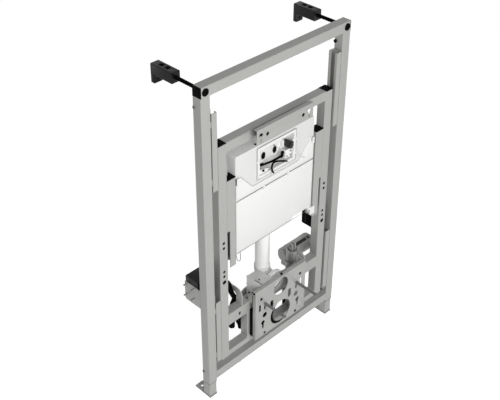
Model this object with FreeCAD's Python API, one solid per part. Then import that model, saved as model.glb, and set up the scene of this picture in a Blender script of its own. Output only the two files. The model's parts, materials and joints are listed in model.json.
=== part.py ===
# Wall hung toilet frame with a height adjustable carriage, in millimetres.
# X runs along the wall, Y runs from the room (minus) to the wall (plus), Z is up.
# The pieces are drawn with Y counted from the front face of the outer frame.
# save() then moves them back by MIDDLE_Y, so the origin is on the floor below the middle.
import FreeCAD, Part
import math, os

V = FreeCAD.Vector
os.makedirs("parts", exist_ok=True)

# Driving sizes of the fixed frame
TUBE = 40.0              # square tube of the outer frame
WALL = 2.5               # wall of every steel tube
CORNER_R = 3.0           # outer corner radius of the tubes
FRAME_W = 730.0          # outside width
FRAME_H = 1400.0         # floor to top of the top rail
BOTTOM_RAIL_Z = 82.0     # underside of the bottom rail
UPRIGHT_DROP = 10.0      # how far the uprights reach below the bottom rail
CAP_T = 3.0              # flange of the plastic plugs and caps
CAP_GRIP = 10.0          # spigot of a plug inside its tube
CAP_FIT = 0.2            # gap between spigot and tube
FOOT_PLATE_T = 5.0
FOOT_PLATE_W = 38.0
FOOT_PLATE_L = 88.0
FOOT_GRIP = 118.0        # length of the foot tube inside the upright
FOOT_HOLE_R = 6.5
FOOT_HOLE_BACK = 19.0    # hole centre from the rear edge of the plate

# Guide rails and the blocks that run in them
RAIL_DEEP = 23.0         # from lip to back
RAIL_WALL = 2.5
RAIL_SPACER = 4.0        # pads between rail and upright
RAIL_PAD_H = 24.0
RAIL_PAD_IN = 40.0       # pad centre from the rail's end
RAIL_SLOT = 20.0         # gap between the lips
RAIL_UPPER_H = 308.0
RAIL_UPPER_DROP = 70.0   # below the top rail
RAIL_LOWER_H = 306.0
RAIL_LOWER_RISE = 48.0   # above the bottom rail
RUN = 0.5                # running clearance of a block in its rail
BLOCK_H = 80.0
BLOCK_IN = 10.0          # a block's lower end above the rail's lower end

# Wall fixings at the top
ROD_R = 7.0
ROD_FIT = 0.3            # clearance of rods and studs in their holes
ROD_HEAD_R = 14.0
ROD_HEAD_T = 3.0
ROD_SOCKET = 5.0         # corner radius of the hexagon socket
ROD_L = 205.0
BRACKET_GAP = 102.0      # from the frame's back to the bracket
BRACKET_L = 104.0
BRACKET_W = 38.0
BRACKET_H = 40.0
BRACKET_R = 4.0
BRACKET_PLATE_H = 72.0
BRACKET_PLATE_T = 14.0
BRACKET_POCKET = (16.0, 20.0, 8.0)   # width, length and depth of a recess on top
BRACKET_POCKET_Y = (28.0, 58.0)      # where they start, from the bracket's front
WALL_SCREW_R = 4.5
WALL_SCREW_RISE = 16.0   # above the lower end of the bracket's plate

# Carriage
CAR = 40.0               # square tube of the carriage
CAR_SET = 5.0            # carriage behind the front of the frame
POST_GAP = 6.0           # between post and rail lips
LIFT = 200.0             # travel
TOP_CLEAR = 10.0         # below the top rail when fully raised
BASE_GAP = 33.0          # above the bottom rail when lowered
BASE_H = 25.0            # height of the flat base crossbar
POST_HOLES = ((392.0, 8.0), (420.0, 5.0), (442.0, 5.0), (553.0, 5.0), (576.0, 5.0))   # height, radius
INNER_W = 42.0           # width of the inner posts
INNER_DROP = 50.0        # below the cistern's lower end
INNER_UP = 70.0          # their top below the cistern's top
NOTCH_W = 12.0           # gap beside the carriage post at its lower end
NOTCH_H = 170.0

# Bowl fixing: standard spacings
STUD_Z = 350.0           # height of the studs above the floor
STUD_X = 90.0
STUD_R = 6.0
STUD_OUT = 110.0         # in front of the plate
SHANK_R = 6.2            # plain shank in the plate and the crossbar
NUT_R = 10.5             # corner radius of the nuts
NUT_T = 10.0
FLUSH_RISE = 35.0        # flush hole above the studs
FLUSH_HOLE_R = 41.0
WASTE_DROP = 100.0       # waste hole below the studs
WASTE_HOLE_R = 57.0
PLATE_W = 286.0
PLATE_UP = 83.0          # plate above the studs
PLATE_DOWN = 167.0       # plate below the studs
PLATE_FRONT = 31.0       # in front of the frame
PLATE_T = 3.0
PLATE_FOLD = 16.0        # depth of the fold along the top
SIDE_FOLD = 15.0         # depth of the folds at the sides
PLATE_HOLES = ((111.0, 34.0, 6.0), (90.0, -156.0, 5.5), (90.0, -60.0, 12.0),
               (100.0, -96.0, 10.0), (51.0, -33.0, 10.0))     # X, height from the studs, radius
PLATE_SLOTS = ((118.0, -28.0, 9.0, 5.5), (90.0, -32.0, -9.0, 4.5),
               (100.0, -127.0, -96.0, 4.5), (51.0, -54.0, -9.0, 8.0))    # X, both ends, radius
EAR_DEEP = 51.0          # an ear above the crossbar, from the plate's front
EAR_HOLE = (35.0, 14.0, 4.5)         # from the plate's front and its top, radius
EAR_SLOT = (6.5, 43.0)   # width and height of the gap between a side fold and its ear
SPACER = 14.0            # square spacers behind the plate
SPACER_DZ = (-65.0, -135.0)
PAD_X = (62.0, 140.0)    # pad behind the left half of the plate
PAD_DZ = (-160.0, -22.0) # its ends from the studs
PAD_GAP = 0.3
SUPPORT_H = 55.0         # height of the support crossbar
SUPPORT_UP = 20.0        # its top above the studs
SADDLE_R = 41.0          # notch for the flush elbow
OVAL_IN = 58.0           # oval hole of the support crossbar from the left carriage post
OVAL_DZ = -8.0
OVAL_R = 5.0
OVAL_H = 16.0
PLATE_POST_OUT = 8.0     # plate posts stand out beside the plate
HANG_UP, HANG_DOWN = 14.0, 47.0      # hanger bracket above and below the top of the carriage
HANG_FOLD = 17.0         # depth of its top fold
HANG_WEB = (-118.0, 78.0)            # ends of the web that holds it to the crossbar
HANG_SEAT = 30.0         # web's foot below the top of the carriage
KEY_X, KEY_DZ, KEY_R, KEY_SLOT = 123.0, -12.0, 9.0, (8.0, 28.0)
HANG_X, HANG_DZ, HANG_R = 91.0, -18.0, 7.5

# Cistern
CIST_GAP = 6.0           # between cistern and inner posts
CIST_FRONT = 8.0         # cistern behind the carriage's front
CIST_D = 125.0
CIST_H = 414.0
CIST_DROP = 46.0         # its top below the top crossbar
CIST_WALL = 4.0
CIST_R = 5.0
SKIN_T = 3.0             # white skins on its front
COVER_H = 226.0          # lower skin
COVER_DROP = 10.0        # it reaches below the tank
COVER_R = 8.0
STEP_X, STEP_UP = 92.0, 12.0         # its lower edge rises to the right of here
SEAM = 4.0               # between lower and upper skin
COLLAR_UP = 33.0         # upper skin between its two slopes
COLLAR_SIDE = 99.0       # upper skin at the sides
COLLAR_X = (121.0, 184.0)            # foot and head of a slope
BOX_W = 188.0            # service opening
BOX_H = 120.0
BOX_D = 45.0
BOX_WALL = 3.0
BOX_DROP = 15.0          # its top below the cistern's top
RIM = 6.0                # rim round the opening
RIM_T = 5.0
PEG_R, PEG_L, PEG_RISE = 3.0, 50.0, 22.0
BOX_HOLES_X = (-23.0, 36.0)
BOX_HOLE_R = 11.0
BOX_HOLE_RISE = 43.0
BARREL_IN, BARREL_R, BARREL_L, BARREL_RISE = 21.0, 12.0, 34.0, 62.0   # from the right side
HOLDER_R = 8.0           # of the barrel's holder
VALVE_W, VALVE_H, VALVE_D, VALVE_RISE = 34.0, 36.0, 36.0, 8.0

# Pipes
PIPE_Y = 76.0            # axis of the flush pipe
PIPE_R = 29.5
PIPE_WALL = 3.0
SOCKET_WALL = 3.0        # of the flush elbow round the pipe
SOCKET_RISE = 45.0       # top of its socket above the axis
SOCKET_GRIP = 15.0
ELBOW_DZ = 5.0           # elbow axis above the flush hole's centre
ELBOW_BEND = 34.0
NECK_R = 40.0            # collar in front of the elbow
NECK_Y = (8.0, 24.0)
SHELF_X = (-94.0, -84.0, -28.0)      # flange tips, web and inner end of the elbow's shelf
SHELF_Y = (-12.0, 72.0)
SHELF_H = 40.0
SHELF_RISE = 20.0        # above the support crossbar
SHELF_T = 2.5
BEND_GAP = 17.0          # from the plate posts to the mouth of the waste bend
BEND_R = 50.0
BEND_WALL = 4.0
BEND_SWING = 62.0        # centre-line radius
BEND_OUT = 80.0          # from its mouth to the axis of the drop
BEND_DOWN = 150.0
BEAD_R, BEAD_T, BEAD_IN = 55.0, 8.0, 18.0
CLAMP_R = 68.0
CLAMP_ARM = 16.0         # width and height of its arms

# Side arms on the support crossbar
ARM_IN = 71.0            # outer face from the carriage post
ARM_T = 5.0
ARM_Y = (6.0, 38.0)      # upright part
ARM_H = 74.0
ARM_DEEP = 112.0         # rear end of the left arm
ARM_BAR = 25.0           # height of its level part
ARM_R = (30.0, 12.0)    # outer and inner corner
TAB_H = 54.0             # the right one is a rounded tab

# Drive
SHEET = 2.5
CONTROL_SET = 12.0       # control box behind the upright
CONTROL_BOX = (83.5, 69.0, 110.0)    # width, depth and height
CONTROL_Z = 458.0
CONTROL_SHEET_DROP = 5.0
CONTROL_SHEET_H = 87.0
CONTROL_BEVEL = (6.0, 8.0)
SUPPLY_BOX = (38.0, 76.0, 97.0)
SUPPLY_Z = 471.0
SUPPLY_IN = 12.0         # overlap with the post's width
BOX_R = 4.0
ACT_IN = 68.0            # axis of the spindle from the carriage post
ACT_Y = 82.0
COLUMN_R = 21.5
COLUMN_UP = 35.0         # column above the support crossbar
COLUMN_GAP = 28.0        # column above the bottom rail when lowered
COLLAR_R, COLLAR_H = 34.0, 55.0
RIB_R, RIB_T, RIB_STEP = 37.0, 6.0, 16.0
LUG_W, LUG_H = 30.0, 40.0
CUP_R, CUP_H, CUP_BORE, CUP_DEEP = 25.5, 62.0, 20.0, 9.0          # head of the column
FORK_W, FORK_T, FORK_H, FORK_HOLE = 22.0, 6.0, 40.0, 5.0
SPINDLE_R = 10.0
BOOT_GAP = 6.0           # ribbed boot below the column when lowered
BOOT_R, BOOT_RIB_R = 31.0, 34.5
SPINDLE_FIT = 0.3
SPINDLE_END = 10.0       # free length above the spindle in the column
MOTOR_Y = 122.0
MOTOR_Z = 348.0
MOTOR_R = 35.0
MOTOR_ENDS = (-5.0, 146.0)           # from the spindle
CASE_R, CASE_H = 29.0, 34.0          # gear case round the column
MOTOR_CAP = (27.0, 8.0)  # radius and depth of the end cap
SEAT_W, SEAT_T, SEAT_BACK = 64.0, 6.0, 24.0
HOSE_R = 10.5            # conduit of the drive, clipped behind the carriage
HOSE_GAP = 2.5
HOSE_CLIP = 16.0
HOSE_TOP = ((26.0, 530.0), (89.0, 470.0), (102.0, 415.0))    # its route inwards from the post's outer face, and Z
HOSE_FOOT = ((25.0, 345.0), (9.0, 195.0))            # outwards from the middle of the plate post, and Z
HOSE_BENDS = (55.0, 120.0, 100.0)    # radius at each inner point

# Places that follow from the sizes
XC = FRAME_W / 2 - TUBE / 2                 # centre of an upright
XS = FRAME_W / 2 - TUBE                     # inner face of an upright
UPRIGHT_Z0 = BOTTOM_RAIL_Z - UPRIGHT_DROP
UPRIGHT_Z1 = FRAME_H - TUBE
BOTTOM_TOP = BOTTOM_RAIL_Z + TUBE
ROD_Z = FRAME_H - TUBE / 2
BRACKET_Y0 = TUBE + BRACKET_GAP
BRACKET_Y1 = BRACKET_Y0 + BRACKET_L
LIP_X = XS - RAIL_SPACER - RAIL_DEEP        # face of the rail lips
UPPER_Z1 = UPRIGHT_Z1 - RAIL_UPPER_DROP
UPPER_Z0 = UPPER_Z1 - RAIL_UPPER_H
LOWER_Z0 = BOTTOM_TOP + RAIL_LOWER_RISE
POST_X1 = LIP_X - POST_GAP
POST_X0 = POST_X1 - CAR
Y0, Y1 = CAR_SET, CAR_SET + CAR             # front and back of the carriage tubes
POST_Z0 = BOTTOM_TOP + BASE_GAP
POST_Z1 = UPRIGHT_Z1 - LIFT - TOP_CLEAR
BASE_Z1 = POST_Z0 + BASE_H
SUPPORT_Z1 = STUD_Z + SUPPORT_UP
SUPPORT_Z0 = SUPPORT_Z1 - SUPPORT_H
INNER_X0 = POST_X0 - INNER_W
PLATE_Y = -PLATE_FRONT
PLATE_BACK = PLATE_Y + PLATE_T
PLATE_Z0, PLATE_Z1 = STUD_Z - PLATE_DOWN, STUD_Z + PLATE_UP
FLUSH_Z = STUD_Z + FLUSH_RISE
WASTE_Z = STUD_Z - WASTE_DROP
PLATE_POST_X1 = PLATE_W / 2 + PLATE_POST_OUT
PLATE_POST_X0 = PLATE_POST_X1 - CAR
PLATE_POST_XC = PLATE_POST_X1 - CAR / 2
CIST_X = INNER_X0 - CIST_GAP                # half width of the cistern
CIST_Y0 = Y0 + CIST_FRONT
CIST_Y1 = CIST_Y0 + CIST_D
CIST_Z1 = POST_Z1 - CAR - CIST_DROP
CIST_Z0 = CIST_Z1 - CIST_H
SEAM_Z = CIST_Z0 + COVER_H
BOX_Z1 = CIST_Z1 - BOX_DROP
BOX_Z0 = BOX_Z1 - BOX_H
BOX_BACK = CIST_Y0 + BOX_D - BOX_WALL       # room side of the box's rear wall
BARREL_X = BOX_W / 2 - BARREL_IN
ELBOW_Z = FLUSH_Z + ELBOW_DZ
BEND_Y0 = Y1 + BEND_GAP
BEND_Y1 = BEND_Y0 + BEND_OUT
COLUMN_Z0 = BOTTOM_TOP + COLUMN_GAP
COLUMN_Z1 = SUPPORT_Z1 + COLUMN_UP
SEAT_Z1 = BOTTOM_RAIL_Z + SEAT_T
ACT_X = POST_X0 - ACT_IN
ARM_X = POST_X0 - ARM_IN
MOTOR_X = [ACT_X + end for end in MOTOR_ENDS]
LUG_Z0 = (SUPPORT_Z0 + SUPPORT_Z1 - LUG_H) / 2
HOSE_Y = Y1 + HOSE_GAP + HOSE_R
MIDDLE_Y = (BRACKET_Y1 + PLATE_Y - STUD_OUT) / 2     # midway from stud tips to wall


def box(x0, x1, y0, y1, z0, z1):
    """A block between two limits on each axis."""
    return Part.makeBox(x1 - x0, y1 - y0, z1 - z0, V(x0, y0, z0))


def bar_x(r, x0, x1, y, z):
    """A round bar along X."""
    return Part.makeCylinder(r, x1 - x0, V(x0, y, z), V(1, 0, 0))


def bar_y(r, x, y0, y1, z):
    """A round bar along Y."""
    return Part.makeCylinder(r, y1 - y0, V(x, y0, z), V(0, 1, 0))


def bar_z(r, x, y, z0, z1):
    """A round bar along Z."""
    return Part.makeCylinder(r, z1 - z0, V(x, y, z0), V(0, 0, 1))


def prism_x(outline, x0, x1):
    """A plate across X from its outline, a list of (y, z) corners."""
    wire = Part.makePolygon([V(x0, y, z) for y, z in outline + outline[:1]])
    return Part.Face(wire).extrude(V(x1 - x0, 0, 0))


def prism_y(outline, y0, y1):
    """A plate across Y from its outline, a list of (x, z) corners."""
    wire = Part.makePolygon([V(x, y0, z) for x, z in outline + outline[:1]])
    return Part.Face(wire).extrude(V(0, y1 - y0, 0))


def hexagon(r, x, z, y0, y1):
    """A hexagonal bar along Y with a given corner radius."""
    turns = [math.radians(a) for a in range(0, 360, 60)]
    return prism_y([(x + r * math.cos(a), z + r * math.sin(a)) for a in turns], y0, y1)


def rounded(x0, x1, y0, y1, z0, z1, r, axis):
    """A block whose four edges along one axis are rounded."""
    block = box(x0, x1, y0, y1, z0, z1)
    along = "xyz".index(axis)
    edges = [e for e in block.Edges if abs(e.tangentAt(e.FirstParameter)[along]) > 0.5]
    return block.makeFillet(r, edges)


def tube(x0, x1, y0, y1, z0, z1, axis):
    """A rectangular hollow section, open at both ends."""
    outer = rounded(x0, x1, y0, y1, z0, z1, CORNER_R, axis)
    lo, hi = [x0, y0, z0], [x1, y1, z1]
    for i, name in enumerate("xyz"):
        step = -1.0 if name == axis else WALL
        lo[i] += step
        hi[i] -= step
    return outer.cut(box(lo[0], hi[0], lo[1], hi[1], lo[2], hi[2]))


def pipe(points, bends, r):
    """A round bar along straight runs, with a tangent arc of a given radius at each inner point."""
    points = [V(*point) for point in points]
    at, bar = points[0], None
    for before, corner, after, swing in zip(points, points[1:], points[2:], bends):
        u, w = (before - corner).normalize(), (after - corner).normalize()
        reach = swing / math.tan(u.getAngle(w) / 2)
        start = corner + u * reach
        centre = start + (w - u * u.dot(w)).normalize() * swing
        disc = Part.Face(Part.Wire(Part.makeCircle(r, start, u)))
        turn = disc.revolve(centre, w.cross(u), 180 - math.degrees(u.getAngle(w)))
        run = Part.makeCylinder(r, (start - at).Length, at, start - at)
        bar = run.fuse(turn) if bar is None else bar.fuse(run).fuse(turn)
        at = corner + w * reach
    return bar.fuse(Part.makeCylinder(r, (points[-1] - at).Length, at, points[-1] - at))


def mirror(shape):
    """The same piece on the other side of the middle."""
    return shape.mirror(V(0, 0, 0), V(1, 0, 0))


def both(shape):
    """The right piece and its mirror image, as two solids of one node."""
    return [shape, mirror(shape)]


def save(name, *shapes):
    """Write the solids of one node as a STEP file."""
    solids = []
    for shape in shapes:
        found = shape.removeSplitter().Solids
        if len(found) != 1:
            raise ValueError("%s has a piece of %d solids" % (name, len(found)))
        solids.append(found[0])
    node = solids[0] if len(solids) == 1 else Part.makeCompound(solids)
    node.translate(V(0, -MIDDLE_Y, 0))
    node.exportStep("parts/%s.step" % name)
    print("%-22s %d solid  %9.1f cm3" % (name, len(solids), node.Volume / 1000.0))


def pair(name, shape):
    """Write a piece of the right side and its mirror image as two nodes."""
    save("right_" + name, shape)
    save("left_" + name, mirror(shape))


def top_rail():
    """Top rail: lies on the uprights and is bored for the two wall rods."""
    half = FRAME_W / 2 - CAP_T
    rail = tube(-half, half, 0, TUBE, UPRIGHT_Z1, FRAME_H, "x")
    for x in (-XC, XC):
        rail = rail.cut(bar_y(ROD_R + ROD_FIT, x, -1, TUBE + 1, ROD_Z))
    return rail


def end_plug():
    """Square plastic plug in the right end of the top rail."""
    x1 = FRAME_W / 2
    inner = WALL + CAP_FIT
    flange = box(x1 - CAP_T, x1, 0, TUBE, UPRIGHT_Z1, FRAME_H)
    spigot = box(x1 - CAP_T - CAP_GRIP, x1 - CAP_T, inner, TUBE - inner, UPRIGHT_Z1 + inner, FRAME_H - inner)
    return flange.fuse(spigot)


def foot():
    """Right foot: a tube that slides in the upright, on a floor plate with a bolt hole."""
    s = TUBE / 2 - WALL
    leg = box(XC - s, XC + s, TUBE / 2 - s, TUBE / 2 + s, FOOT_PLATE_T, UPRIGHT_Z0 + FOOT_GRIP)
    s -= WALL
    leg = leg.cut(box(XC - s, XC + s, TUBE / 2 - s, TUBE / 2 + s, FOOT_PLATE_T, UPRIGHT_Z0 + FOOT_GRIP + 1))
    half = FOOT_PLATE_W / 2
    plate = box(XC - half, XC + half, 0, FOOT_PLATE_L, 0, FOOT_PLATE_T)
    return leg.fuse(plate).cut(bar_z(FOOT_HOLE_R, XC, FOOT_PLATE_L - FOOT_HOLE_BACK, -1, FOOT_PLATE_T + 1))


def guide_rail(z0, height):
    """Right guide rail: a C section with its slot towards the middle, on two pads."""
    x0, x1, z1 = LIP_X, LIP_X + RAIL_DEEP, z0 + height
    y_slot = TUBE / 2 - RAIL_SLOT / 2
    rail = box(x0, x1, 0, TUBE, z0, z1)
    rail = rail.cut(box(x0 + RAIL_WALL, x1 - RAIL_WALL, RAIL_WALL, TUBE - RAIL_WALL, z0 - 1, z1 + 1))
    rail = rail.cut(box(x0 - 1, x0 + RAIL_WALL + 1, y_slot, TUBE - y_slot, z0 - 1, z1 + 1))
    for z in (z0 + RAIL_PAD_IN, z1 - RAIL_PAD_IN):
        rail = rail.fuse(box(x1, XS, RAIL_WALL, TUBE - RAIL_WALL, z - RAIL_PAD_H / 2, z + RAIL_PAD_H / 2))
    return rail


def guide_block(rail_z0):
    """Right guide block: a T on the carriage post that runs in the rail."""
    z0 = rail_z0 + BLOCK_IN
    near, far = LIP_X + RAIL_WALL + RUN, LIP_X + RAIL_DEEP - RAIL_WALL - RUN
    neck, head = RAIL_SLOT / 2 - RUN, TUBE / 2 - RAIL_WALL - RUN
    yc = TUBE / 2
    outline = [(POST_X1, yc - neck), (near, yc - neck), (near, yc - head), (far, yc - head),
               (far, yc + head), (near, yc + head), (near, yc + neck), (POST_X1, yc + neck)]
    wire = Part.makePolygon([V(x, y, z0) for x, y in outline + outline[:1]])
    return Part.Face(wire).extrude(V(0, 0, BLOCK_H))


def wall_rod():
    """Right wall rod: threaded rod with a round socket head on the top rail."""
    rod = bar_y(ROD_R, XC, 0, ROD_L, ROD_Z).fuse(bar_y(ROD_HEAD_R, XC, -ROD_HEAD_T, 0, ROD_Z))
    return rod.cut(hexagon(ROD_SOCKET, XC, ROD_Z, -ROD_HEAD_T - 1, ROD_HEAD_T))


def wall_bracket():
    """Right wall bracket: plastic block on the rod, with a plate flat on the wall."""
    x0, x1 = XC - BRACKET_W / 2, XC + BRACKET_W / 2
    z1 = ROD_Z + BRACKET_H / 2
    block = rounded(x0, x1, BRACKET_Y0, BRACKET_Y1, z1 - BRACKET_H, z1, BRACKET_R, "y")
    plate = rounded(x0, x1, BRACKET_Y1 - BRACKET_PLATE_T, BRACKET_Y1, z1 - BRACKET_PLATE_H, z1, BRACKET_R, "y")
    body = block.fuse(plate).cut(bar_y(ROD_R + ROD_FIT, XC, BRACKET_Y0 - 1, ROD_L + ROD_FIT, ROD_Z))
    wide, long, deep = BRACKET_POCKET
    for y in BRACKET_POCKET_Y:
        body = body.cut(box(XC - wide / 2, XC + wide / 2, BRACKET_Y0 + y, BRACKET_Y0 + y + long,
                            z1 - deep, z1 + 1))
    hole_z = z1 - BRACKET_PLATE_H + WALL_SCREW_RISE
    return body.cut(bar_y(WALL_SCREW_R, XC, BRACKET_Y1 - BRACKET_PLATE_T - 1, BRACKET_Y1 + 1, hole_z))


def control_bracket():
    """Sheet bracket on the back of the left upright that carries the control box."""
    x0 = -FRAME_W / 2
    y1 = TUBE + CONTROL_SET + CONTROL_BOX[1] + SHEET
    z0 = CONTROL_Z - CONTROL_SHEET_DROP
    z1 = z0 + CONTROL_SHEET_H
    dy, dz = CONTROL_BEVEL
    side = prism_x([(TUBE, z0), (y1 - dy, z0), (y1, z0 + dz), (y1, z1), (TUBE, z1)], x0, x0 + SHEET)
    return side.fuse(box(x0, x0 + TUBE, TUBE, TUBE + SHEET, z0, z1))


def control_box():
    """Control box of the drive, behind the left upright."""
    wide, deep, high = CONTROL_BOX
    x0, y0 = -FRAME_W / 2 + SHEET, TUBE + CONTROL_SET
    return rounded(x0, x0 + wide, y0, y0 + deep, CONTROL_Z, CONTROL_Z + high, BOX_R, "x")


def supply_box():
    """Supply box on the back of the right carriage post."""
    wide, deep, high = SUPPLY_BOX
    x0 = POST_X1 - SUPPLY_IN
    return rounded(x0, x0 + wide, Y1, Y1 + deep, SUPPLY_Z, SUPPLY_Z + high, BOX_R, "x")


def carriage_post():
    """Right carriage post: tube with two groups of fixing holes in its front wall."""
    post = tube(POST_X0, POST_X1, Y0, Y1, POST_Z0, POST_Z1 - CAP_T, "z")
    for rise, r in POST_HOLES:
        post = post.cut(bar_y(r, POST_X1 - CAR / 2, Y0 - 1, Y0 + WALL + 1, POST_Z0 + rise))
    return post


def tube_cap(x0, x1, z1):
    """Plastic cap on the top of a post."""
    inner = WALL + CAP_FIT
    flange = box(x0, x1, Y0, Y1, z1 - CAP_T, z1)
    return flange.fuse(box(x0 + inner, x1 - inner, Y0 + inner, Y1 - inner, z1 - CAP_T - CAP_GRIP, z1 - CAP_T))


def inner_post():
    """Right inner post: tube welded to the carriage post, notched beside it at the lower end."""
    z0 = CIST_Z0 - INNER_DROP
    post = tube(INNER_X0, POST_X0, Y0, Y1, z0, CIST_Z1 - INNER_UP - CAP_T, "z")
    return post.cut(box(POST_X0 - NOTCH_W, POST_X0 + 1, Y0 - 1, Y1 + 1, z0 - 1, z0 + NOTCH_H))


def crossbar(z0, z1):
    """A tube between the two carriage posts."""
    return tube(-POST_X0, POST_X0, Y0, Y1, z0, z1, "x")


def support_crossbar():
    """Crossbar that the studs pass through, notched on top for the flush elbow."""
    bar = crossbar(SUPPORT_Z0, SUPPORT_Z1).cut(bar_y(SADDLE_R, 0, Y0 - 1, Y1 + 1, ELBOW_Z))
    for x in (-STUD_X, STUD_X):
        bar = bar.cut(bar_y(STUD_R + ROD_FIT, x, Y0 - 1, Y1 + 1, STUD_Z))
    z = STUD_Z + OVAL_DZ
    return bar.cut(slot_cut(OVAL_IN - POST_X0, z - OVAL_H / 2, z + OVAL_H / 2, OVAL_R, Y0, WALL))


def plate_post():
    """Right plate post between the two lower crossbars, with spacers behind the fixing plate."""
    post = tube(PLATE_POST_X0, PLATE_POST_X1, Y0, Y1, BASE_Z1, SUPPORT_Z0, "z")
    half = SPACER / 2
    for dz in SPACER_DZ:
        z = STUD_Z + dz
        post = post.fuse(box(PLATE_POST_XC - half, PLATE_POST_XC + half, PLATE_BACK, Y0, z - half, z + half))
    return post


def slot_cut(x, z0, z1, r, y, thick):
    """Cutter for an upright slot with round ends through a wall that starts at y."""
    cut = box(x - r, x + r, y - 1, y + thick + 1, z0 + r, z1 - r)
    for z in (z0 + r, z1 - r):
        cut = cut.fuse(bar_y(r, x, y - 1, y + thick + 1, z))
    return cut


def plate_cuts(side):
    """Cutters for the holes and slots on one side of the fixing plate."""
    y, t = PLATE_Y, PLATE_T
    cuts = [bar_y(STUD_R + ROD_FIT, side * STUD_X, y - 1, y + t + 1, STUD_Z)]
    for x, dz, r in PLATE_HOLES:
        cuts.append(bar_y(r, side * x, y - 1, y + t + 1, STUD_Z + dz))
    for x, dz0, dz1, r in PLATE_SLOTS:
        cuts.append(slot_cut(side * x, STUD_Z + dz0, STUD_Z + dz1, r, y, t))
    return cuts


def fixing_plate():
    """Folded steel plate that the bowl hangs on: holes, slots, keyholes, side folds and two ears."""
    half, t = PLATE_W / 2, PLATE_T
    plate = box(-half, half, PLATE_Y, PLATE_BACK, PLATE_Z0, PLATE_Z1)
    plate = plate.fuse(box(-half, half, PLATE_Y, PLATE_Y + PLATE_FOLD, PLATE_Z1 - t, PLATE_Z1))
    ear = [(PLATE_Y, PLATE_Z0), (PLATE_Y + SIDE_FOLD, PLATE_Z0), (PLATE_Y + SIDE_FOLD, SUPPORT_Z1),
           (PLATE_Y + EAR_DEEP, SUPPORT_Z1), (PLATE_Y + EAR_DEEP, PLATE_Z1), (PLATE_Y, PLATE_Z1)]
    back, drop, hole_r = EAR_HOLE
    (wide, high), fold_y = EAR_SLOT, PLATE_Y + SIDE_FOLD
    gap = box(-half - 1, half + 1, fold_y, fold_y + wide, SUPPORT_Z1 - 1, SUPPORT_Z1 + high)
    for x0 in (-half, half - t):
        side = prism_x(ear, x0, x0 + t).cut(gap)
        plate = plate.fuse(side.cut(bar_x(hole_r, x0 - 1, x0 + t + 1, PLATE_Y + back, PLATE_Z1 - drop)))
    cuts = [bar_y(FLUSH_HOLE_R, 0, PLATE_Y - 1, PLATE_BACK + 1, FLUSH_Z),
            bar_y(WASTE_HOLE_R, 0, PLATE_Y - 1, PLATE_BACK + 1, WASTE_Z)]
    for side in (-1, 1):
        cuts += plate_cuts(side)
    for c in cuts:
        plate = plate.cut(c)
    return plate


def plate_pad():
    """Black pad between the left half of the plate and the carriage, cut round the spacers."""
    near, far = PAD_X
    low, high = PAD_DZ
    pad = box(-far, -near, PLATE_BACK, Y0 - PAD_GAP, STUD_Z + low, STUD_Z + high)
    half = SPACER / 2 + PAD_GAP
    for dz in SPACER_DZ:
        z = STUD_Z + dz
        pad = pad.cut(box(-PLATE_POST_XC - half, -PLATE_POST_XC + half, PLATE_BACK - 1, Y0, z - half, z + half))
    return pad


def stud():
    """Right stud for the bowl: threaded in front, with a plain shank and two nuts behind the plate."""
    bar = bar_y(STUD_R, STUD_X, PLATE_Y - STUD_OUT, PLATE_Y, STUD_Z)
    bar = bar.fuse(bar_y(SHANK_R, STUD_X, PLATE_Y, Y1 + NUT_T + STUD_R, STUD_Z))
    for y in (PLATE_BACK, Y1):
        bar = bar.fuse(hexagon(NUT_R, STUD_X, STUD_Z, y, y + NUT_T))
    return bar


def hanger_bracket():
    """Folded bracket in front of the top crossbar, level with the fixing plate, with two keyholes."""
    half, t = PLATE_W / 2, PLATE_T
    z0, z1, back = POST_Z1 - HANG_DOWN, POST_Z1 + HANG_UP, PLATE_Y + HANG_FOLD
    sheet = box(-half, half, PLATE_Y, PLATE_BACK, z0, z1).fuse(box(-half, half, PLATE_Y, back, z1 - t, z1))
    left, right = HANG_WEB
    seat = POST_Z1 - HANG_SEAT
    sheet = sheet.fuse(box(left, right, back - t, back, seat, z1)).fuse(box(left, right, back, Y0, seat, seat + t))
    wide, deep = KEY_SLOT
    for side in (-1, 1):
        x, z = side * KEY_X, POST_Z1 + KEY_DZ
        tail = box(x - wide / 2, x + wide / 2, PLATE_Y - 1, PLATE_BACK + 1, z - deep, z)
        sheet = sheet.cut(bar_y(KEY_R, x, PLATE_Y - 1, PLATE_BACK + 1, z).fuse(tail))
        sheet = sheet.cut(bar_y(HANG_R, side * HANG_X, PLATE_Y - 1, PLATE_BACK + 1, POST_Z1 + HANG_DZ))
    return sheet


def cistern_tank():
    """Cistern tank: hollow, with a liner behind the service opening and a hole for the flush pipe."""
    x, w = CIST_X, CIST_WALL
    tank = rounded(-x, x, CIST_Y0, CIST_Y1, CIST_Z0, CIST_Z1, CIST_R, "y")
    tank = tank.cut(box(-x + w, x - w, CIST_Y0 + w, CIST_Y1 - w, CIST_Z0 + w, CIST_Z1 - w))
    half, y1 = BOX_W / 2, CIST_Y0 + BOX_D
    tank = tank.fuse(box(-half - w, half + w, CIST_Y0, y1 + w, BOX_Z0 - w, BOX_Z1 + w))
    tank = tank.cut(box(-half, half, CIST_Y0 - 1, y1, BOX_Z0, BOX_Z1))
    return tank.cut(bar_z(PIPE_R, 0, PIPE_Y, CIST_Z0 - 1, CIST_Z0 + w + 1))


def cistern_cover():
    """White skin over the lower front of the tank; its lower edge steps up on the right."""
    x = CIST_X
    z0 = CIST_Z0 - COVER_DROP
    outline = [(-x, z0), (STEP_X, z0), (STEP_X + STEP_UP, z0 + STEP_UP), (x, z0 + STEP_UP),
               (x, SEAM_Z), (-x, SEAM_Z)]
    return prism_y(outline, CIST_Y0 - SKIN_T, CIST_Y0)


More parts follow.
